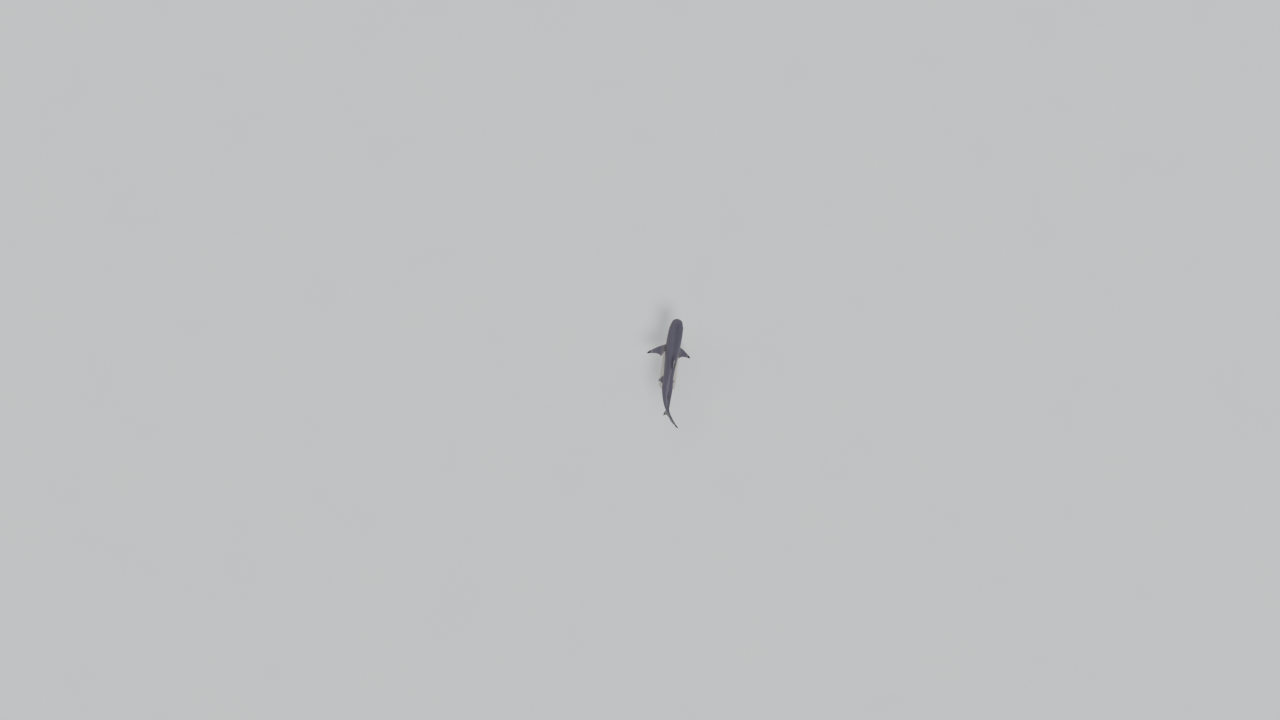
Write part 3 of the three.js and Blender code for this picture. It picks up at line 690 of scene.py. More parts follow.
def fin_rows(fin, circle, side, droop, sweep):
    """The fin's rows of points with their marks, in the straight frame of the left side."""
    front, chord, span, across = fin_axes(fin, droop, sweep)
    tip = fin["lead"][-1][1]
    share = np.clip((1 + circle[:, 0]) / 2, 0, 1)
    face = np.sign(np.where(np.abs(circle[:, 1]) < 1e-6, 0, circle[:, 1])) * side
    base_at = mix(fin["from"][0], fin["to"][0], share)
    base_angle = mix(fin["from"][1], fin["to"][1], share)
    base = (body_point(base_at, base_angle) - front) @ span / PERCENT
    height = fin_heights(fin)[:, None]
    height = height + base[None, :] * np.clip(1 - height / tip, 0, 1) ** 2
    start, end = fin_outline(fin, height)
    up = np.clip(height / tip, 0, 1)
    half = np.maximum(mix(*fin["thick"], up**THINNING) * section_shape(share), np.where(share > 0, EDGE, 0))
    lean = -fin.get("bow", 0) * PERCENT * up**2
    x = mix(start, end, share)
    points = (
        front
        + chord * (x * PERCENT)[..., None]
        + span * (height * PERCENT)[..., None]
        + across * (face * half + lean)[..., None]
    )
    upper, lower = fin.get("sides", (-FAR, -FAR))
    upper = mix(body_white(base_at, base_angle - 0.25), upper, step(up, 0, ROOT))
    rim = np.minimum((x - start) * PERCENT - RIM[0], (end - x) * PERCENT - RIM[1])
    rim = rim + ROOT_PALE * (1 - step(up, 0, 0.3))
    marks = {
        "ink": (up - fin["black"]) * tip * PERCENT - INK_SLANT * share,
        "halo": fin["halo"] * step(up, 0, 0.25),
        "white": np.where(face > 0, np.minimum(lower, rim), upper),
        "along": fin["from"][0] / 100,
        "turn": mix(base_angle, fin["turn"], step(up, 0, ROOT)),
        "ray": share,
        "rays": step(up, 0.06, 0.4) * step(share, 0.1, 0.5),
    }
    return points, marks


def fin_opening(fin, side, wide):
    """Where a fin's opening in the skin is, its half sizes and its slant."""
    (from_at, from_angle), (to_at, to_angle) = fin["from"], fin["to"]
    middle_at, middle_angle = (from_at + to_at) / 2, (from_angle + to_angle) / 2
    long_mm, wide_mm = spot_scale(middle_at, middle_angle)
    slant = atan2((to_angle - from_angle) * wide_mm, (to_at - from_at) * long_mm)
    half_long = (to_at - from_at) / 2 * long_mm + fin["fillet"]
    half_wide = wide * wide_mm if wide else fin["thick"][0] + fin["fillet"]
    return middle_at, side * middle_angle, half_long, half_wide, side * slant


def fillet_rows(root, inward, first, outward, reach):
    """Rows that leave the body along its surface and turn into the fin's first rows."""
    gap = np.linalg.norm(first - root, axis=-1, keepdims=True)
    start = inward * np.minimum(gap, reach)
    end = outward * np.minimum(gap, reach)
    t = np.array(FILLET_ROWS)[:, None, None]
    return (
        (1 + t * t * (2 * t - 3)) * root
        + t * (1 - t) ** 2 * start
        + t * t * (3 - 2 * t) * first
        - t * t * (1 - t) * end
    )


def weld_fin(skin, grid, edge, name, side=1, droop=None, sweep=0.0, wide=None):
    """Grows a fin from the edge of its opening, and closes it at the tip."""
    fin = FINS[name]
    rows, cols, circle = edge
    points, marks = fin_rows(fin, circle, side, fin["droop"] if droop is None else droop, sweep)
    points = points * np.array([side, 1, 1])
    at, angle = grid.at[rows, cols], grid.angle[rows, cols]
    middle_at, middle_angle = fin_opening(fin, side, wide)[:2]
    root = grid.points[rows, cols]
    normal = body_normal(at, angle)
    inward = body_point(mix(at, middle_at, 0.06), angle + wrapped(middle_angle - angle) * 0.5)
    inward = inward - body_point(at, angle)
    inward = unit(inward - normal * np.sum(inward * normal, -1, keepdims=True))
    blend = fillet_rows(root, inward, points[0], unit(points[1] - points[0]), fin["fillet"] * 1.6)
    t = np.array(FILLET_ROWS)[:, None]
    blend_ids = skin.add_points(
        blend,
        white=mix(body_white(at, angle), marks["white"][0], t),
        along=at / 100,
        line=mix(lateral_line(at, angle), FAR, t),
        turn=mix(folded(angle), marks["turn"][0], t),
    )
    fin_ids = skin.add_points(points, **marks)

    # The two faces of the last row meet in points that they share.
    count = len(rows)
    half = count // 2 + 1
    shut = (points[-1] + points[-1][-np.arange(count) % count]) / 2
    tip_marks = {key: np.broadcast_to(value, points.shape[:-1])[-1, :half] for key, value in marks.items()}
    tip_ids = skin.add_points(shut[:half], **tip_marks)
    tip_loop = tip_ids[np.minimum(np.arange(count), count - np.arange(count))]
    all_ids = np.concatenate([grid.ids[rows, cols][None], blend_ids, fin_ids, tip_loop[None]])

    all_points = np.concatenate([root[None], blend, points, shut[None]])
    lengths = running_sum(np.linalg.norm(np.diff(all_points, axis=0), axis=-1).mean(1))
    loop = points[len(points) // 3]
    steps = running_sum(np.linalg.norm(np.roll(loop, -1, 0) - loop, axis=-1))
    uvs = skin.atlas.patch(steps[-1], lengths[-1], steps / steps[-1], lengths / lengths[-1])
    skin.add_quads(all_ids, uvs)


# ---- Eyes and nostrils ----

LIDS = {"at": 7.3, "angle": 1.27, "half_long": 16.5, "half_wide": 12.2}
# Rows of the lids: the share of the opening's size, the heights over the skin above and below the
# eye, and the share of painted shade in the socket.
LID_ROWS = [
    (0.96, 0.1, -0.1, 0), (0.915, 0.35, -0.55, 0), (0.87, 0.75, -0.1, 0.05),
    (0.825, 1.05, 0.75, 0.1), (0.785, 1.15, 1.1, 0.25), (0.75, 0.95, 1.0, 0.6),
    (0.725, 0.35, 0.55, 0.9), (0.715, -0.6, -0.3, 1), (0.74, -2.2, -2.0, 1), (0.75, -4.0, -4.0, 1),
]
LOWER_LID = 0.4  # how much more of the eye the lower lid's inner rows cover
NOSTRIL = {"at": 3.1, "angle": 2.42, "half_long": 11.5, "half_wide": 5.0, "slant": 0.75, "turned": True}
# Rows of the nostril: the share of the opening's size, the height over the skin and the share of painted
# shade down the slit.
NOSTRIL_ROWS = [
    (0.94, 0.15, 0), (0.86, 0.5, 0), (0.76, 0.55, 0.1), (0.66, 0.0, 0.4), (0.6, -1.4, 0.9),
    (0.5, -3.0, 1), (0.35, -4.5, 1),
]
FLAP = {"direction": 2.6, "width": 0.55, "reach": 0.34, "height": 1.1, "rim": 0.72, "rim_width": 0.16}
POCKET_PATCH = (70.0, 12.0)  # the size of a lid's or a nostril's patch in the UV map, in millimetres


def on_side(opening, side):
    """An opening's settings on the left side (1) or the right (-1)."""
    mirrored = {key: side * opening[key] for key in ("angle", "slant") if key in opening}
    return opening | mirrored


def pocket(skin, grid, edge, rows, at, angle, half_long, half_wide, slant=0.0, turned=False):
    """Rows from an opening's edge inwards, closed at the bottom. Each has a share of the opening's
    size and a height over the skin, all round or for each point of the edge, and its share of
    painted shade, which the fan at the bottom has in full."""
    edge_rows, edge_cols, circle = edge
    long_mm, wide_mm = spot_scale(at, angle)
    normal = body_normal(at, angle)
    loops = []
    for share, height, _ in rows:
        x, y = circle[:, 0] * share, circle[:, 1] * share
        long, wide = oval(x, y, half_long, half_wide, slant, turned)
        there = at + long / long_mm, angle + wide / wide_mm
        base = body_point(*there, broad_relief(*there))
        loops.append(base + normal * np.broadcast_to(height, len(circle))[:, None])
    loop_ids = skin.add_points(
        np.array(loops),
        along=at / 100,
        white=body_white(at, angle),
        turn=folded(angle),
        # the painted shade of each row, darker further in
        deep=np.array([[dark] for _, _, dark in rows]),
    )
    all_ids = np.concatenate([grid.ids[edge_rows, edge_cols][None], loop_ids])
    around = np.arange(len(circle) + 1) / len(circle)
    uvs = skin.atlas.patch(*POCKET_PATCH, around, np.linspace(0, 1, len(all_ids)))
    skin.add_quads(all_ids, uvs)
    skin.add_fan(loops[-1].mean(0), loop_ids[-1], uvs[-1], uvs[-1].mean(0), along=at / 100, deep=1.0)


def eye_lids(skin, grid, edge, side):
    lower = np.clip(edge[2][:, 1] * side, 0, 1)
    rows = []
    for share, upper_height, lower_height, dark in LID_ROWS:
        covered = 1 - LOWER_LID * lower * (1 - share)
        rows.append((share * covered, mix(upper_height, lower_height, lower), dark))
    pocket(skin, grid, edge, rows, **on_side(LIDS, side))


def nostril(skin, grid, edge, side):
    """A slanting slit, partly covered by a flap from its front rim."""
    circle = edge[2]
    away = np.arctan2(circle[:, 1] * side, circle[:, 0]) - FLAP["direction"]
    flap = hill(wrapped(away), FLAP["width"])
    rows = []
    for share, height, dark in NOSTRIL_ROWS:
        on_rim = hill(share - FLAP["rim"], FLAP["rim_width"])
        rows.append((share - FLAP["reach"] * flap * on_rim, height + FLAP["height"] * flap * on_rim, dark))
    pocket(skin, grid, edge, rows, **on_side(NOSTRIL, side))


# ---- Building the skin ----

GROWN_FINS = [  # droop and sweep in degrees, and wide the half width of an opening as an angle
    {"name": "first_dorsal_fin"},
    {"name": "second_dorsal_fin"},
    {"name": "anal_fin"},
    {"name": "pectoral_fin", "sweep": -4},
    {"name": "pectoral_fin", "side": -1, "droop": 30, "sweep": -9},
    {"name": "pelvic_fin"},
    {"name": "pelvic_fin", "side": -1, "droop": 18},
    {"name": "caudal_lower_lobe", "wide": 0.5},
]
MEAN_RADIUS = 6  # of the body, for its patch of the UV map


def make_skin():
    grid, skin = Grid(), Skin()
    openings = []
    for fin in GROWN_FINS:
        spot_and_size = fin_opening(FINS[fin["name"]], fin.get("side", 1), fin.get("wide"))
        openings.append((weld_fin, grid.opening(*spot_and_size, taper=0.2), fin))
    for side in (1, -1):
        openings.append((eye_lids, grid.opening(**on_side(LIDS, side), fade=20), {"side": side}))
        openings.append((nostril, grid.opening(**on_side(NOSTRIL, side), fade=11), {"side": side}))
    add_body(skin, grid)
    for fill, edge, settings in openings:
        fill(skin, grid, edge, **settings)
    return skin


def add_body(skin, grid):
    """The body's rings, with a fan over the nose and one over the tail."""
    gill, gill_deep = gill_relief(grid.ring_at, grid.column_angle)
    mouth, mouth_deep = mouth_relief(grid.ring_at, grid.column_angle)
    grid.points = body_point(grid.at, grid.angle, gill + mouth + broad_relief(grid.at, grid.angle))
    grid.ids = skin.add_points(
        grid.points,
        white=body_white(grid.at, grid.angle),
        ink=tail_ink(grid.at, grid.angle),
        # painted shade in the gill slits and the mouth's groove
        deep=np.maximum(gill_deep, mouth_deep),
        line=lateral_line(grid.at, grid.angle),
        along=grid.at / 100,
        turn=mix(SNOUT_TURN, folded(grid.angle), step(grid.at, 0.5, 7)),
    )
    girth = 2 * pi * PERCENT * MEAN_RADIUS
    lengths = np.concatenate([[0], grid.rings / TIP])
    uvs = skin.atlas.patch(Atlas.SIZE - Atlas.GUTTER, girth, lengths, np.arange(COLUMNS + 1) / COLUMNS)
    uvs = uvs.transpose(1, 0, 2)
    skin.add_quads(grid.ids, uvs[1:], keep=~grid.open_cells[:-1])
    nose_marks = {"along": 0.0, "white": body_white(0, 0.0), "turn": SNOUT_TURN}
    skin.add_fan(body_point(0, 0.0), grid.ids[0], uvs[1], uvs[0, COLUMNS // 2], **nose_marks)
    tail_marks = {"along": 1.0, "ink": 30.0}
    skin.add_fan(grid.points[-1].mean(0), grid.ids[-1], uvs[-1], uvs[-1, COLUMNS // 2], **tail_marks)


# ---- Meshes and pieces ----


def add_object(name, data):
    made = bpy.data.objects.new(name, data)
    bpy.context.scene.collection.objects.link(made)
    return made


def mesh_object(name, points, faces, marks=None, uvs=None):
    """A smooth mesh object with its normals out, with marks on its points and a UV map."""
    used = np.zeros(len(points), bool)
    used[np.concatenate([np.asarray(face) for face in faces])] = True
    number = np.cumsum(used) - 1
    mesh = bpy.data.meshes.new(name)
    mesh.from_pydata(points[used].tolist(), [], [[int(number[i]) for i in face] for face in faces])
    for mark, values in (marks or {}).items():
        values = np.asarray(values, float)[used]
        kind, field = ("FLOAT_VECTOR", "vector") if values.ndim == 2 else ("FLOAT", "value")
        mesh.attributes.new(mark, kind, "POINT").data.foreach_set(field, values.ravel())
    if uvs is not None:
        layer = mesh.uv_layers.new(name="OFBake")
        layer.data.foreach_set("uv", np.asarray(uvs, np.float32).reshape(-1))
    work = bmesh.new()
    work.from_mesh(mesh)
    bmesh.ops.recalc_face_normals(work, faces=work.faces)
    work.to_mesh(mesh)
    work.free()
    mesh.polygons.foreach_set("use_smooth", np.ones(len(mesh.polygons), bool))
    return add_object(name, mesh)


def loops_to_faces(loops, ring=False):
    """Points and faces of loops joined in order, into a ring or with a fan over each end."""
    rows, count = loops.shape[:2]
    sides = [(n, (n + 1) % count) for n in range(count)]
    points, faces = list(loops.reshape(-1, 3)), []
    for row in range(rows if ring else rows - 1):
        low, high = row * count, (row + 1) % rows * count
        faces += [[low + a, low + b, high + b, high + a] for a, b in sides]
    for row in () if ring else (0, rows - 1):
        points.append(loops[row].mean(0))
        faces += [[len(points) - 1, row * count + a, row * count + b] for a, b in sides]
    return np.array(points), faces


def add_piece(name, shape, material, slot, *nodes):
    """A piece from its points and faces, with its looks and the solids that it replaces."""
    piece = mesh_object(name, *shape)
    piece.data.materials.append(material)
    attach(piece, "root")
    if nodes:
        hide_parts(*nodes)
    return piece


# ---- Materials ----


def tint(red, green, blue):
    """A colour of 0 to 255, as the shader's linear numbers."""
    shares = (value / 255 for value in (red, green, blue))
    linear = [s / 12.92 if s <= 0.04045 else ((s + 0.055) / 1.055) ** 2.4 for s in shares]
    return (*linear, 1)


class Paint:
    """A material, with short names for the nodes it is made of."""

    def __init__(self, name, **surface):
        self.material = bpy.data.materials.new(name)
        self.material.use_nodes = True
        self.tree = self.material.node_tree
        self.tree.nodes.clear()
        self.shader = self.tree.nodes.new("ShaderNodeBsdfPrincipled")
        output = self.tree.nodes.new("ShaderNodeOutputMaterial")
        self.tree.links.new(self.shader.outputs[0], output.inputs["Surface"])
        for socket, value in surface.items():
            self.shader.inputs[socket.replace("_", " ")].default_value = value

    def node(self, kind, inputs, output=0, **settings):
        made = self.tree.nodes.new("ShaderNode" + kind)
        for key, value in settings.items():
            setattr(made, key, value)
        for key, value in inputs.items():
            if isinstance(value, bpy.types.NodeSocket):
                self.tree.links.new(value, made.inputs[key])
            else:
                made.inputs[key].default_value = value
        return made.outputs[output]

    def mark(self, name, output="Fac"):
        return self.node("Attribute", {}, output, attribute_name=name)

    def place(self):
        return self.node("TexCoord", {}, "Object")

    def noise(self, where, scale, detail=3.0, rough=0.55, stretch=None):
        if stretch:
            where = self.node("VectorMath", {0: where, 1: stretch}, operation="MULTIPLY")
        return self.node("TexNoise", {"Vector": where, "Scale": scale, "Detail": detail, "Roughness": rough})

    def ramp(self, value, low, high, first=0.0, last=1.0):
        inputs = {"Value": value, "From Min": low, "From Max": high, "To Min": first, "To Max": last}
        return self.node("MapRange", inputs, interpolation_type="SMOOTHSTEP")

    def add(self, a, b):
        return self.node("Math", {0: a, 1: b}, operation="ADD")

    def times(self, a, b):
        return self.node("Math", {0: a, 1: b}, operation="MULTIPLY")

    def swing(self, noise, size):
        """A noise as a swing about 0."""
        return self.times(self.add(noise, -0.5), size)

    def layers(self, colour, *layers):
        """Tints over a colour, each by a share, or by a share times a third value."""
        for tint_over, share, *most in layers:
            share = self.times(share, *most) if most else share
            colour = self.node("Mix", {0: share, 6: colour, 7: tint_over}, 2, data_type="RGBA")
        return colour

    def bumps(self, *layers):
        """Bumps over each other, each from a height with its depth in metres and a strength."""
        normal = {}
        for height, distance, strength in layers:
            inputs = {"Height": height, "Distance": distance, "Strength": strength}
            normal = {"Normal": self.node("Bump", inputs | normal)}
        return normal["Normal"]

    def use(self, **sockets):
        for socket, value in sockets.items():
            self.tree.links.new(value, self.shader.inputs[socket.replace("_", " ")])
        return self.material


BACK = tint(76, 71, 87)
BACK_DARK = tint(54, 51, 64)
FLANK = tint(93, 87, 92)
PALE = tint(214, 206, 196)
BELLY = tint(232, 229, 222)
INK = tint(26, 24, 27)
# a dark reddish painted shade for the slits, grooves, pockets and pores
PAINTED_SHADE = tint(58, 42, 42)
IRIS_GOLD = tint(140, 127, 84)
IRIS_OLIVE = tint(84, 84, 64)
IRIS_FIBRE = tint(182, 168, 120)
IRIS_FLECK = tint(70, 66, 48)
PUPIL_RIM = tint(52, 44, 28)
EYE_RIM = tint(22, 21, 20)
PUPIL_BLACK = tint(2, 2, 3)
COAT = tint(178, 174, 166)
COAT_CLOUD = tint(168, 164, 156)
COAT_PIT = tint(146, 142, 134)
STEEL = tint(188, 190, 193)
STEEL_BRIGHT = tint(204, 205, 207)
FLOOR = tint(214, 216, 218)
FLOOR_CLOUD = tint(218, 219, 220)


def skin_paint():
    """Countershading with a bronze flank, a pale flank stripe and belly, and black fin tips, with painted
    shade down the slits, grooves, pockets and pores.
    """
    paint = Paint("shark_skin", Specular_IOR_Level=0.42)
    mark, noise, ramp, swing = paint.mark, paint.noise, paint.ramp, paint.swing
    add, times = paint.add, paint.times
    where = mark("straight", "Vector")
    turn, along, white = mark("turn"), mark("along"), mark("white")
    drifts = noise(where, 22, 4, 0.6, stretch=(1, 0.35, 1))
    clouds = noise(where, 75, 4, 0.62, stretch=(1, 0.6, 1))
    grain = noise(where, 420, 3, 0.6, stretch=(1, 0.55, 1))
    denticles = noise(where, 1900, 2, 0.5, stretch=(1, 0.4, 1))
    wander = add(swing(drifts, 26), swing(clouds, 12))
    frayed = add(wander, swing(grain, 3.5))

    shade = ramp(add(turn, times(wander, 0.012)), 0.55, 1.75)
    ridge = ramp(add(turn, times(wander, 0.01)), 0.42, 0.05)
    mottle = ramp(add(clouds, times(drifts, 0.5)), 0.55, 0.95, 0.0, 0.34)
    line = times(ramp(mark("line"), 1.6, 0.4), ramp(clouds, 0.35, 0.6, 0.3, 1.0))
    rays = paint.node("TexNoise", {"W": mark("ray"), "Scale": 75, "Detail": 2}, noise_dimensions="1D")
    rays = times(ramp(rays, 0.42, 0.68), mark("rays"))
    belly = paint.layers(
        PALE,
        (BELLY, ramp(add(white, wander), 4, 34)),
        (FLANK, ramp(clouds, 0.5, 0.8, 0.0, 0.16)),
    )
    ink = add(mark("ink"), swing(clouds, 5))
    band = times(ramp(ink, -30, -12), mark("halo"))
    pores = paint.node("TexVoronoi", {"Vector": where, "Scale": 240.0, "Randomness": 0.9}, "Distance")
    near_snout = times(ramp(along, 0.11, 0.06), ramp(noise(where, 38, 1), 0.45, 0.6))
    # pores by the snout: small pits in the bump, with painted shade in them
    pore = times(ramp(pores, 0.14, 0.07), near_snout)
    colour = paint.layers(
        BACK,
        (FLANK, shade),
        (BACK_DARK, ridge, 0.55),
        (BACK_DARK, mottle),
        (FLANK, ramp(grain, 0.6, 0.78, 0.0, 0.22)),
        (FLANK, ramp(along, 0.05, 0.0), 0.25),
        (BACK_DARK, line, 0.2),
        (BACK_DARK, rays, 0.3),
        (belly, ramp(add(white, frayed), -7, 6), 0.93),
        (PALE, band, 0.85),
        (INK, ramp(add(ink, swing(grain, 5)), -2.4, 2.0), 0.97),
        # painted shade down the gill slits, the mouth's groove, the eye sockets and the nostrils, and in the
        # pores
        (PAINTED_SHADE, ramp(mark("deep"), 0.12, 0.95, 0.0, 0.92)),
        (PAINTED_SHADE, pore, 0.6),
    )
    rough = ramp(add(clouds, times(grain, 0.4)), 0.4, 1.0, 0.36, 0.56)
    normal = paint.bumps(
        (clouds, 0.0012, 0.35),
        (grain, 0.0005, 0.3),
        (denticles, 0.00025, 0.35),
        (rays, 0.0003, 0.4),
        (times(add(pore, line), -1.0), 0.0004, 0.4),
    )
    return paint.use(Base_Color=colour, Roughness=rough, Normal=normal)


def eye_paint():
    """A black upright slit in a polished olive-gold iris with fine rays and a dark rim."""
    coat = {"Coat_Weight": 1.0, "Coat_Roughness": 0.06, "Coat_IOR": 1.38}
    paint = Paint("shark_eye", **coat, Roughness=0.4, Specular_IOR_Level=0.1)
    mark, noise, ramp = paint.mark, paint.noise, paint.ramp
    radius, slit = mark("radius"), mark("slit")
    fibres = noise(mark("ray", "Vector"), 9, 4, 0.65)
    flecks = noise(mark("spot", "Vector"), 900, 3, 0.6)
    colour = paint.layers(
        IRIS_GOLD,
        (IRIS_OLIVE, ramp(radius, 0.2, 0.85)),
        (IRIS_FIBRE, ramp(fibres, 0.42, 0.66, 0.0, 0.6)),
        (IRIS_FLECK, ramp(flecks, 0.55, 0.75, 0.0, 0.5)),
        (PUPIL_RIM, ramp(slit, 1.3, 0.2, 0.0, 0.7)),
        (EYE_RIM, ramp(radius, 0.72, 0.93)),
        (PUPIL_BLACK, ramp(slit, 0.22, -0.12)),
    )
    return paint.use(Base_Color=colour, Normal=paint.bumps((fibres, 0.0002, 0.4)))


def coat_paint():
    """Warm grey powder coat with a fine orange-peel texture."""
    paint = Paint("stand_powder_coat", Specular_IOR_Level=0.45)
    where = paint.place()
    peel, cloud = paint.noise(where, 650, 2, 0.5), paint.noise(where, 9, 3, 0.55)
    pits = paint.ramp(peel, 0.55, 0.8, 0.0, 0.25)
    colour = paint.layers(COAT, (COAT_CLOUD, paint.ramp(cloud, 0.35, 0.7)), (COAT_PIT, pits))
    rough = paint.ramp(peel, 0.3, 0.7, 0.42, 0.6)
    return paint.use(Base_Color=colour, Roughness=rough, Normal=paint.bumps((peel, 0.0004, 0.35)))


def steel_paint(name, stretch):
    """Brushed steel, whose lines run along the axis that the stretch is small for."""
    paint = Paint(name, Metallic=1.0)
    where = paint.place()
    lines, smears = paint.noise(where, 1.0, 3, 0.6, stretch), paint.noise(where, 60, 3, 0.6)
    colour = paint.layers(STEEL, (STEEL_BRIGHT, paint.ramp(lines, 0.3, 0.7)))
    rough = paint.add(paint.ramp(lines, 0.3, 0.7, 0.26, 0.36), paint.ramp(smears, 0.45, 0.7, 0.0, 0.1))
    return paint.use(Base_Color=colour, Roughness=rough, Normal=paint.bumps((lines, 0.0001, 0.3)))


# ---- The skin and the eyes ----

skin = make_skin()
straight_points = np.concatenate(skin.points)
skin_marks = {name: np.concatenate(values) for name, values in skin.marks.items()}
skin_marks["straight"] = straight_points * MM
FLESH = [
    "snout", "head", "lower_jaw", "gill_region", "fore_trunk", "rear_trunk", "tail_stem",
    "caudal_upper_lobe", "caudal_lower_lobe", "first_dorsal_fin", "second_dorsal_fin", "anal_fin",
    "pectoral_fin_left", "pectoral_fin_right", "pelvic_fin_left", "pelvic_fin_right",
]
skin_shape = place(straight_points), skin.faces, skin_marks, skin.face_uvs
skin_piece = add_piece("shark_skin", skin_shape, skin_paint(), "skin", *FLESH)

EYE = {"length": 31, "height": 22, "depth": 14, "sunk": 4.6, "pole": 0.02, "rows": 70, "columns": 96}
PUPIL = {"half_wide": 1.15, "half_high": 5.6}
IRIS = {"half_long": 12.4, "half_high": 9.2, "fibre": 0.18}
FAR_SIDE = {"slit": 40, "radius": 1.5}  # these keep the pupil and the iris off the far side


def eyeball(side):
    """A flattened ball whose pole looks out, with the marks of its iris and pupil."""
    at, angle = LIDS["at"], side * LIDS["angle"]
    normal = body_normal(at, angle)
    along = unit(np.array([0, 1, 0]) - normal * normal[1])
    across = np.cross(normal, along)
    polar = np.linspace(EYE["pole"], pi - EYE["pole"], EYE["rows"])
    turn = np.arange(EYE["columns"]) * tau / EYE["columns"]
    polar, turn = np.meshgrid(polar, turn, indexing="ij")
    x = EYE["length"] / 2 * np.sin(polar) * np.cos(turn)
    y = EYE["height"] / 2 * np.sin(polar) * np.sin(turn)
    z = EYE["depth"] / 2 * np.cos(polar)
    local = np.stack([x, y, z], -1)
    loops = body_point(at, angle) + normal * (z[..., None] - EYE["sunk"]) + along * x[..., None]
    loops = loops + across * y[..., None]
    points, faces = loops_to_faces(place(loops))
    flat, _ = loops_to_faces(local)
    x, y, inner = flat[:, 0], flat[:, 1], flat[:, 2] < 0
    high = np.clip(1 - (y / PUPIL["half_high"]) ** 2, -1, 1)
    outward = np.hypot(x / IRIS["half_long"], y / IRIS["half_high"])
    heading = np.arctan2(y, x)
    marks = {
        "slit": np.abs(x) - PUPIL["half_wide"] * high + FAR_SIDE["slit"] * inner,
        "radius": np.where(inner, FAR_SIDE["radius"], outward),
        "ray": np.stack([np.cos(heading), np.sin(heading), outward * IRIS["fibre"]], -1),
        "spot": flat * MM,
    }
    return points, faces, marks


for side, hand in ((1, "left"), (-1, "right")):
    add_piece("eyeball_" + hand, eyeball(side), eye_paint(), "eye", "eye_" + hand)

# ---- The stand ----

BASE = {"width": 160, "length": 460, "thick": 18, "corner": 36, "bevel": 3, "flat": 2, "middle": 0.6}
ROD = {"radius": 6, "chamfer": 0.5, "into_skin": 3, "segments": 64}
COLLAR = {"radius": 19, "height": 9, "bevel": 2.5, "foot": 0.6, "mouth": 0.8}
SCREW = {"radius": 2.4, "depth": 3, "head": 0.4, "socket": 1.15, "socket_depth": 1.6, "place": 0.42}
FERRULE = {"inner": 6.2, "outer": 10.5, "height": 5.0, "bevel": 1.2, "sunk": 2.5}
GAP = 0.3
DECK = BASE["thick"] + GAP  # the height of what stands on the base
BELOW_BELLY = 0.1  # metres


def plate_loop(inset, z):
    """The base's outline, drawn in by inset, at a height."""
    corners = np.array([(1, 1), (-1, 1), (-1, -1), (1, -1)])[:, None]
    turn = np.linspace(0, pi / 2, 15) + np.arange(4)[:, None] * pi / 2
    arcs = (BASE["corner"] - inset) * np.stack([np.cos(turn), np.sin(turn)], -1)
    half = np.array([BASE["width"], BASE["length"]]) / 2 - BASE["corner"]
    outline = (half * corners + arcs).reshape(-1, 2)
    return np.column_stack([outline, np.full(len(outline), z)])


def plate():
    bevel, thick = BASE["bevel"], BASE["thick"]
    arc = np.linspace(0, pi / 2, 7)
    edge = [(bevel * (1 - sin(a)), bevel * (1 - cos(a))) for a in arc]
    rows = [(bevel + BASE["flat"], 0), *edge]
    rows += [(inset, thick - z) for inset, z in reversed(edge)]
    rows += [(bevel + BASE["flat"], thick), (BASE["corner"] * BASE["middle"], thick)]
    loops = np.array([plate_loop(inset, z) for inset, z in rows])
    return loops_to_faces((loops + BASE_MIDDLE * [1, 1, 0]) * MM)


def lathe(profile, segments=72):
    """Loops of points round the z axis, through (radius, height) pairs."""
    turn = np.arange(segments) * tau / segments
    r, z = np.array(profile, float).T[..., None]
    return np.stack([r * np.cos(turn), r * np.sin(turn), 0 * turn + z], -1)


def rounded(radius, top, bevel, steps=5):
    """The points of a rounded upper edge, without its lowest."""
    arc = np.linspace(0, pi / 2, steps)[1:]
    return [(radius - bevel * (1 - cos(a)), top - bevel * (1 - sin(a))) for a in arc]


def rod(middle, top):
    profile = [(ROD["radius"] - ROD["chamfer"], DECK), (ROD["radius"], DECK + ROD["chamfer"])]
    profile += [(ROD["radius"], top + ROD["into_skin"])]
    return loops_to_faces((lathe(profile, ROD["segments"]) + np.array([*middle, 0])) * MM)


def collar(middle):
    r, height, bevel = COLLAR["radius"], COLLAR["height"], COLLAR["bevel"]
    inner = ROD["radius"] + GAP
    profile = [(inner, 0), (r - COLLAR["foot"], 0), (r, COLLAR["foot"]), (r, height - bevel)]
    profile += rounded(r, height, bevel)
    profile += [(inner + COLLAR["mouth"], height), (inner, height - COLLAR["mouth"])]
    points, faces = loops_to_faces(lathe(profile), ring=True)
    screw_points, screw_faces = grub_screw(r, height)
    faces += [[i + len(points) for i in face] for face in screw_faces]
    return (np.concatenate([points, screw_points]) + np.array([*middle, DECK])) * MM, faces


def grub_screw(radius, height):
    """A small screw with a six-sided socket in the collar's side."""
    r, top, socket = SCREW["radius"], SCREW["head"], SCREW["socket"]
    head = lathe([(r, -SCREW["depth"]), (r, top - 0.3), (r - 0.3, top), (socket + 0.15, top)], 36)
    turn = np.arange(36) * tau / 36
    side = np.mod(turn, tau / 6) - tau / 12
    hexagon = socket * cos(pi / 6) / np.cos(side)
    rim = np.stack([hexagon * np.cos(turn), hexagon * np.sin(turn), 0 * turn + top], -1)
    loops = np.concatenate([head, [rim, rim - [0, 0, SCREW["socket_depth"]]]])
    points, faces = loops_to_faces(loops)
    points = np.stack([points[:, 2] + radius, points[:, 0], points[:, 1] + height * SCREW["place"]], -1)
    return points, faces


def belly_spot(middle):
    """The point of the skin over a place on the floor, and the way it faces there."""
    start = Vector((middle[0] * MM, middle[1] * MM, BELOW_BELLY))
    _, spot, normal, _ = skin_piece.ray_cast(start, Vector((0, 0, 1)))
    return np.array(spot) / MM, Vector(normal)


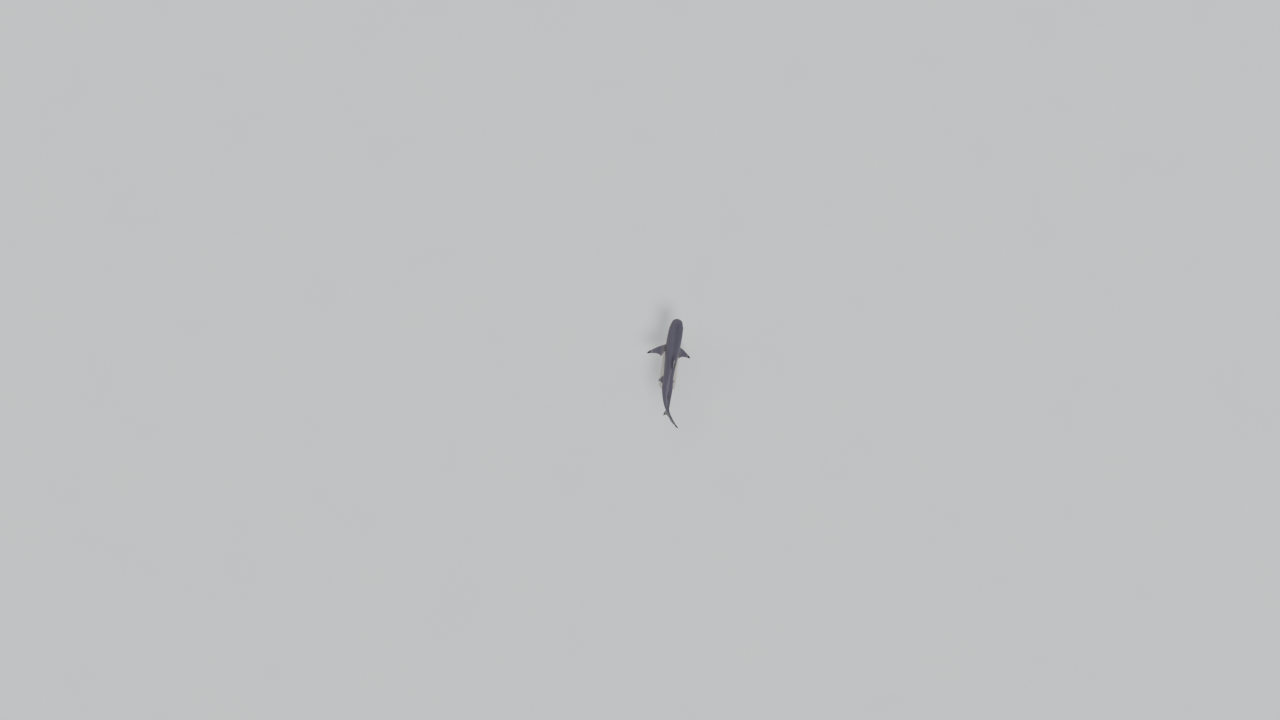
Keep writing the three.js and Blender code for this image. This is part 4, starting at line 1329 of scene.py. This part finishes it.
def ferrule(middle):
    """A ring that seats the rod in the belly, square to the skin."""
    inner, outer, height, bevel, sunk = FERRULE.values()
    top = height - sunk
    profile = [(inner, -sunk), (outer, -sunk), (outer, top - bevel)]
    profile += [*rounded(outer, top, bevel), (inner, top)]
    spot, normal = belly_spot(middle)
    turn = np.array(Vector((0, 0, 1)).rotation_difference(normal).to_matrix())
    points, faces = loops_to_faces(lathe(profile), ring=True)
    return (points @ turn.T + spot) * MM, faces


powder, steel = coat_paint(), steel_paint("stand_steel_upright", (3200, 3200, 30))
turned_steel = steel_paint("stand_steel_turned", (60, 60, 3200))
add_piece("base_plate", plate(), powder, "stand_paint", "stand_base")
for name in ROD_PLACES:
    low, high = box("stand_rod_" + name)
    middle, top = (low[:2] + high[:2]) / 2, high[2]
    add_piece("rod_" + name, rod(middle, top), steel, "stand_metal", "stand_rod_" + name)
    add_piece("collar_" + name, collar(middle), turned_steel, "stand_metal", "stand_collar_" + name)
    add_piece("ferrule_" + name, ferrule(middle), turned_steel, "stand_metal")

# ---- Floor, light and camera ----

HALF_FLOOR = 40  # half the floor's side, in metres
SUNS = {  # strength, then softness, azimuth and elevation in degrees
    "key_light": (2.1, 28, -140, 58),
    "fill_light": (0.75, 60, 60, 48),
    "low_light": (0.35, 70, -20, 20),
}
WORLD_STRENGTH = 0.55
# Straight overhead, as from a low drone, with the snout up the frame.
CAMERA = {"lens": 50, "distance": 18.24, "roll": 7.2, "right": 0.274, "down": 0.124}


def make_floor():
    mesh = bpy.data.meshes.new("floor")
    corners = [(x * HALF_FLOOR, y * HALF_FLOOR, 0) for x, y in ((-1, -1), (1, -1), (1, 1), (-1, 1))]
    mesh.from_pydata(corners, [], [(0, 1, 2, 3)])
    floor = add_object("floor", mesh)
    paint = Paint("floor", Roughness=0.9, Specular_IOR_Level=0.2)
    cloud = paint.noise(paint.place(), 1.3, 3, 0.5)
    colour = paint.layers(FLOOR, (FLOOR_CLOUD, paint.ramp(cloud, 0.3, 0.7)))
    mesh.materials.append(paint.use(Base_Color=colour))


def make_lights():
    for name, (strength, softness, azimuth, elevation) in SUNS.items():
        light = bpy.data.lights.new(name, "SUN")
        light.energy = strength
        light.angle = radians(softness)
        sun = add_object(name, light)
        az, el = radians(azimuth), radians(elevation)
        away = Vector((sin(az) * cos(el), -cos(az) * cos(el), sin(el)))
        sun.rotation_euler = away.to_track_quat("Z", "Y").to_euler()
    world = bpy.data.worlds.new("world")
    bpy.context.scene.world = world
    world.use_nodes = True
    background = world.node_tree.nodes["Background"]
    background.inputs["Color"].default_value = (0.96, 0.98, 1, 1)
    background.inputs["Strength"].default_value = WORLD_STRENGTH


def make_camera():
    data = bpy.data.cameras.new("camera")
    data.lens = CAMERA["lens"]
    data.sensor_width = 36
    data.clip_end = 200
    camera = add_object("camera", data)
    heading = radians(180 + CAMERA["roll"])
    camera.rotation_euler = (0, 0, heading)
    right = Vector((cos(heading), sin(heading), 0))
    down = Vector((sin(heading), -cos(heading), 0))
    offset = right * CAMERA["right"] + down * CAMERA["down"]
    camera.location = Vector((0, 0, AXIS_HEIGHT * MM + CAMERA["distance"])) - offset
    bpy.context.scene.camera = camera


make_floor()
make_lights()
make_camera()
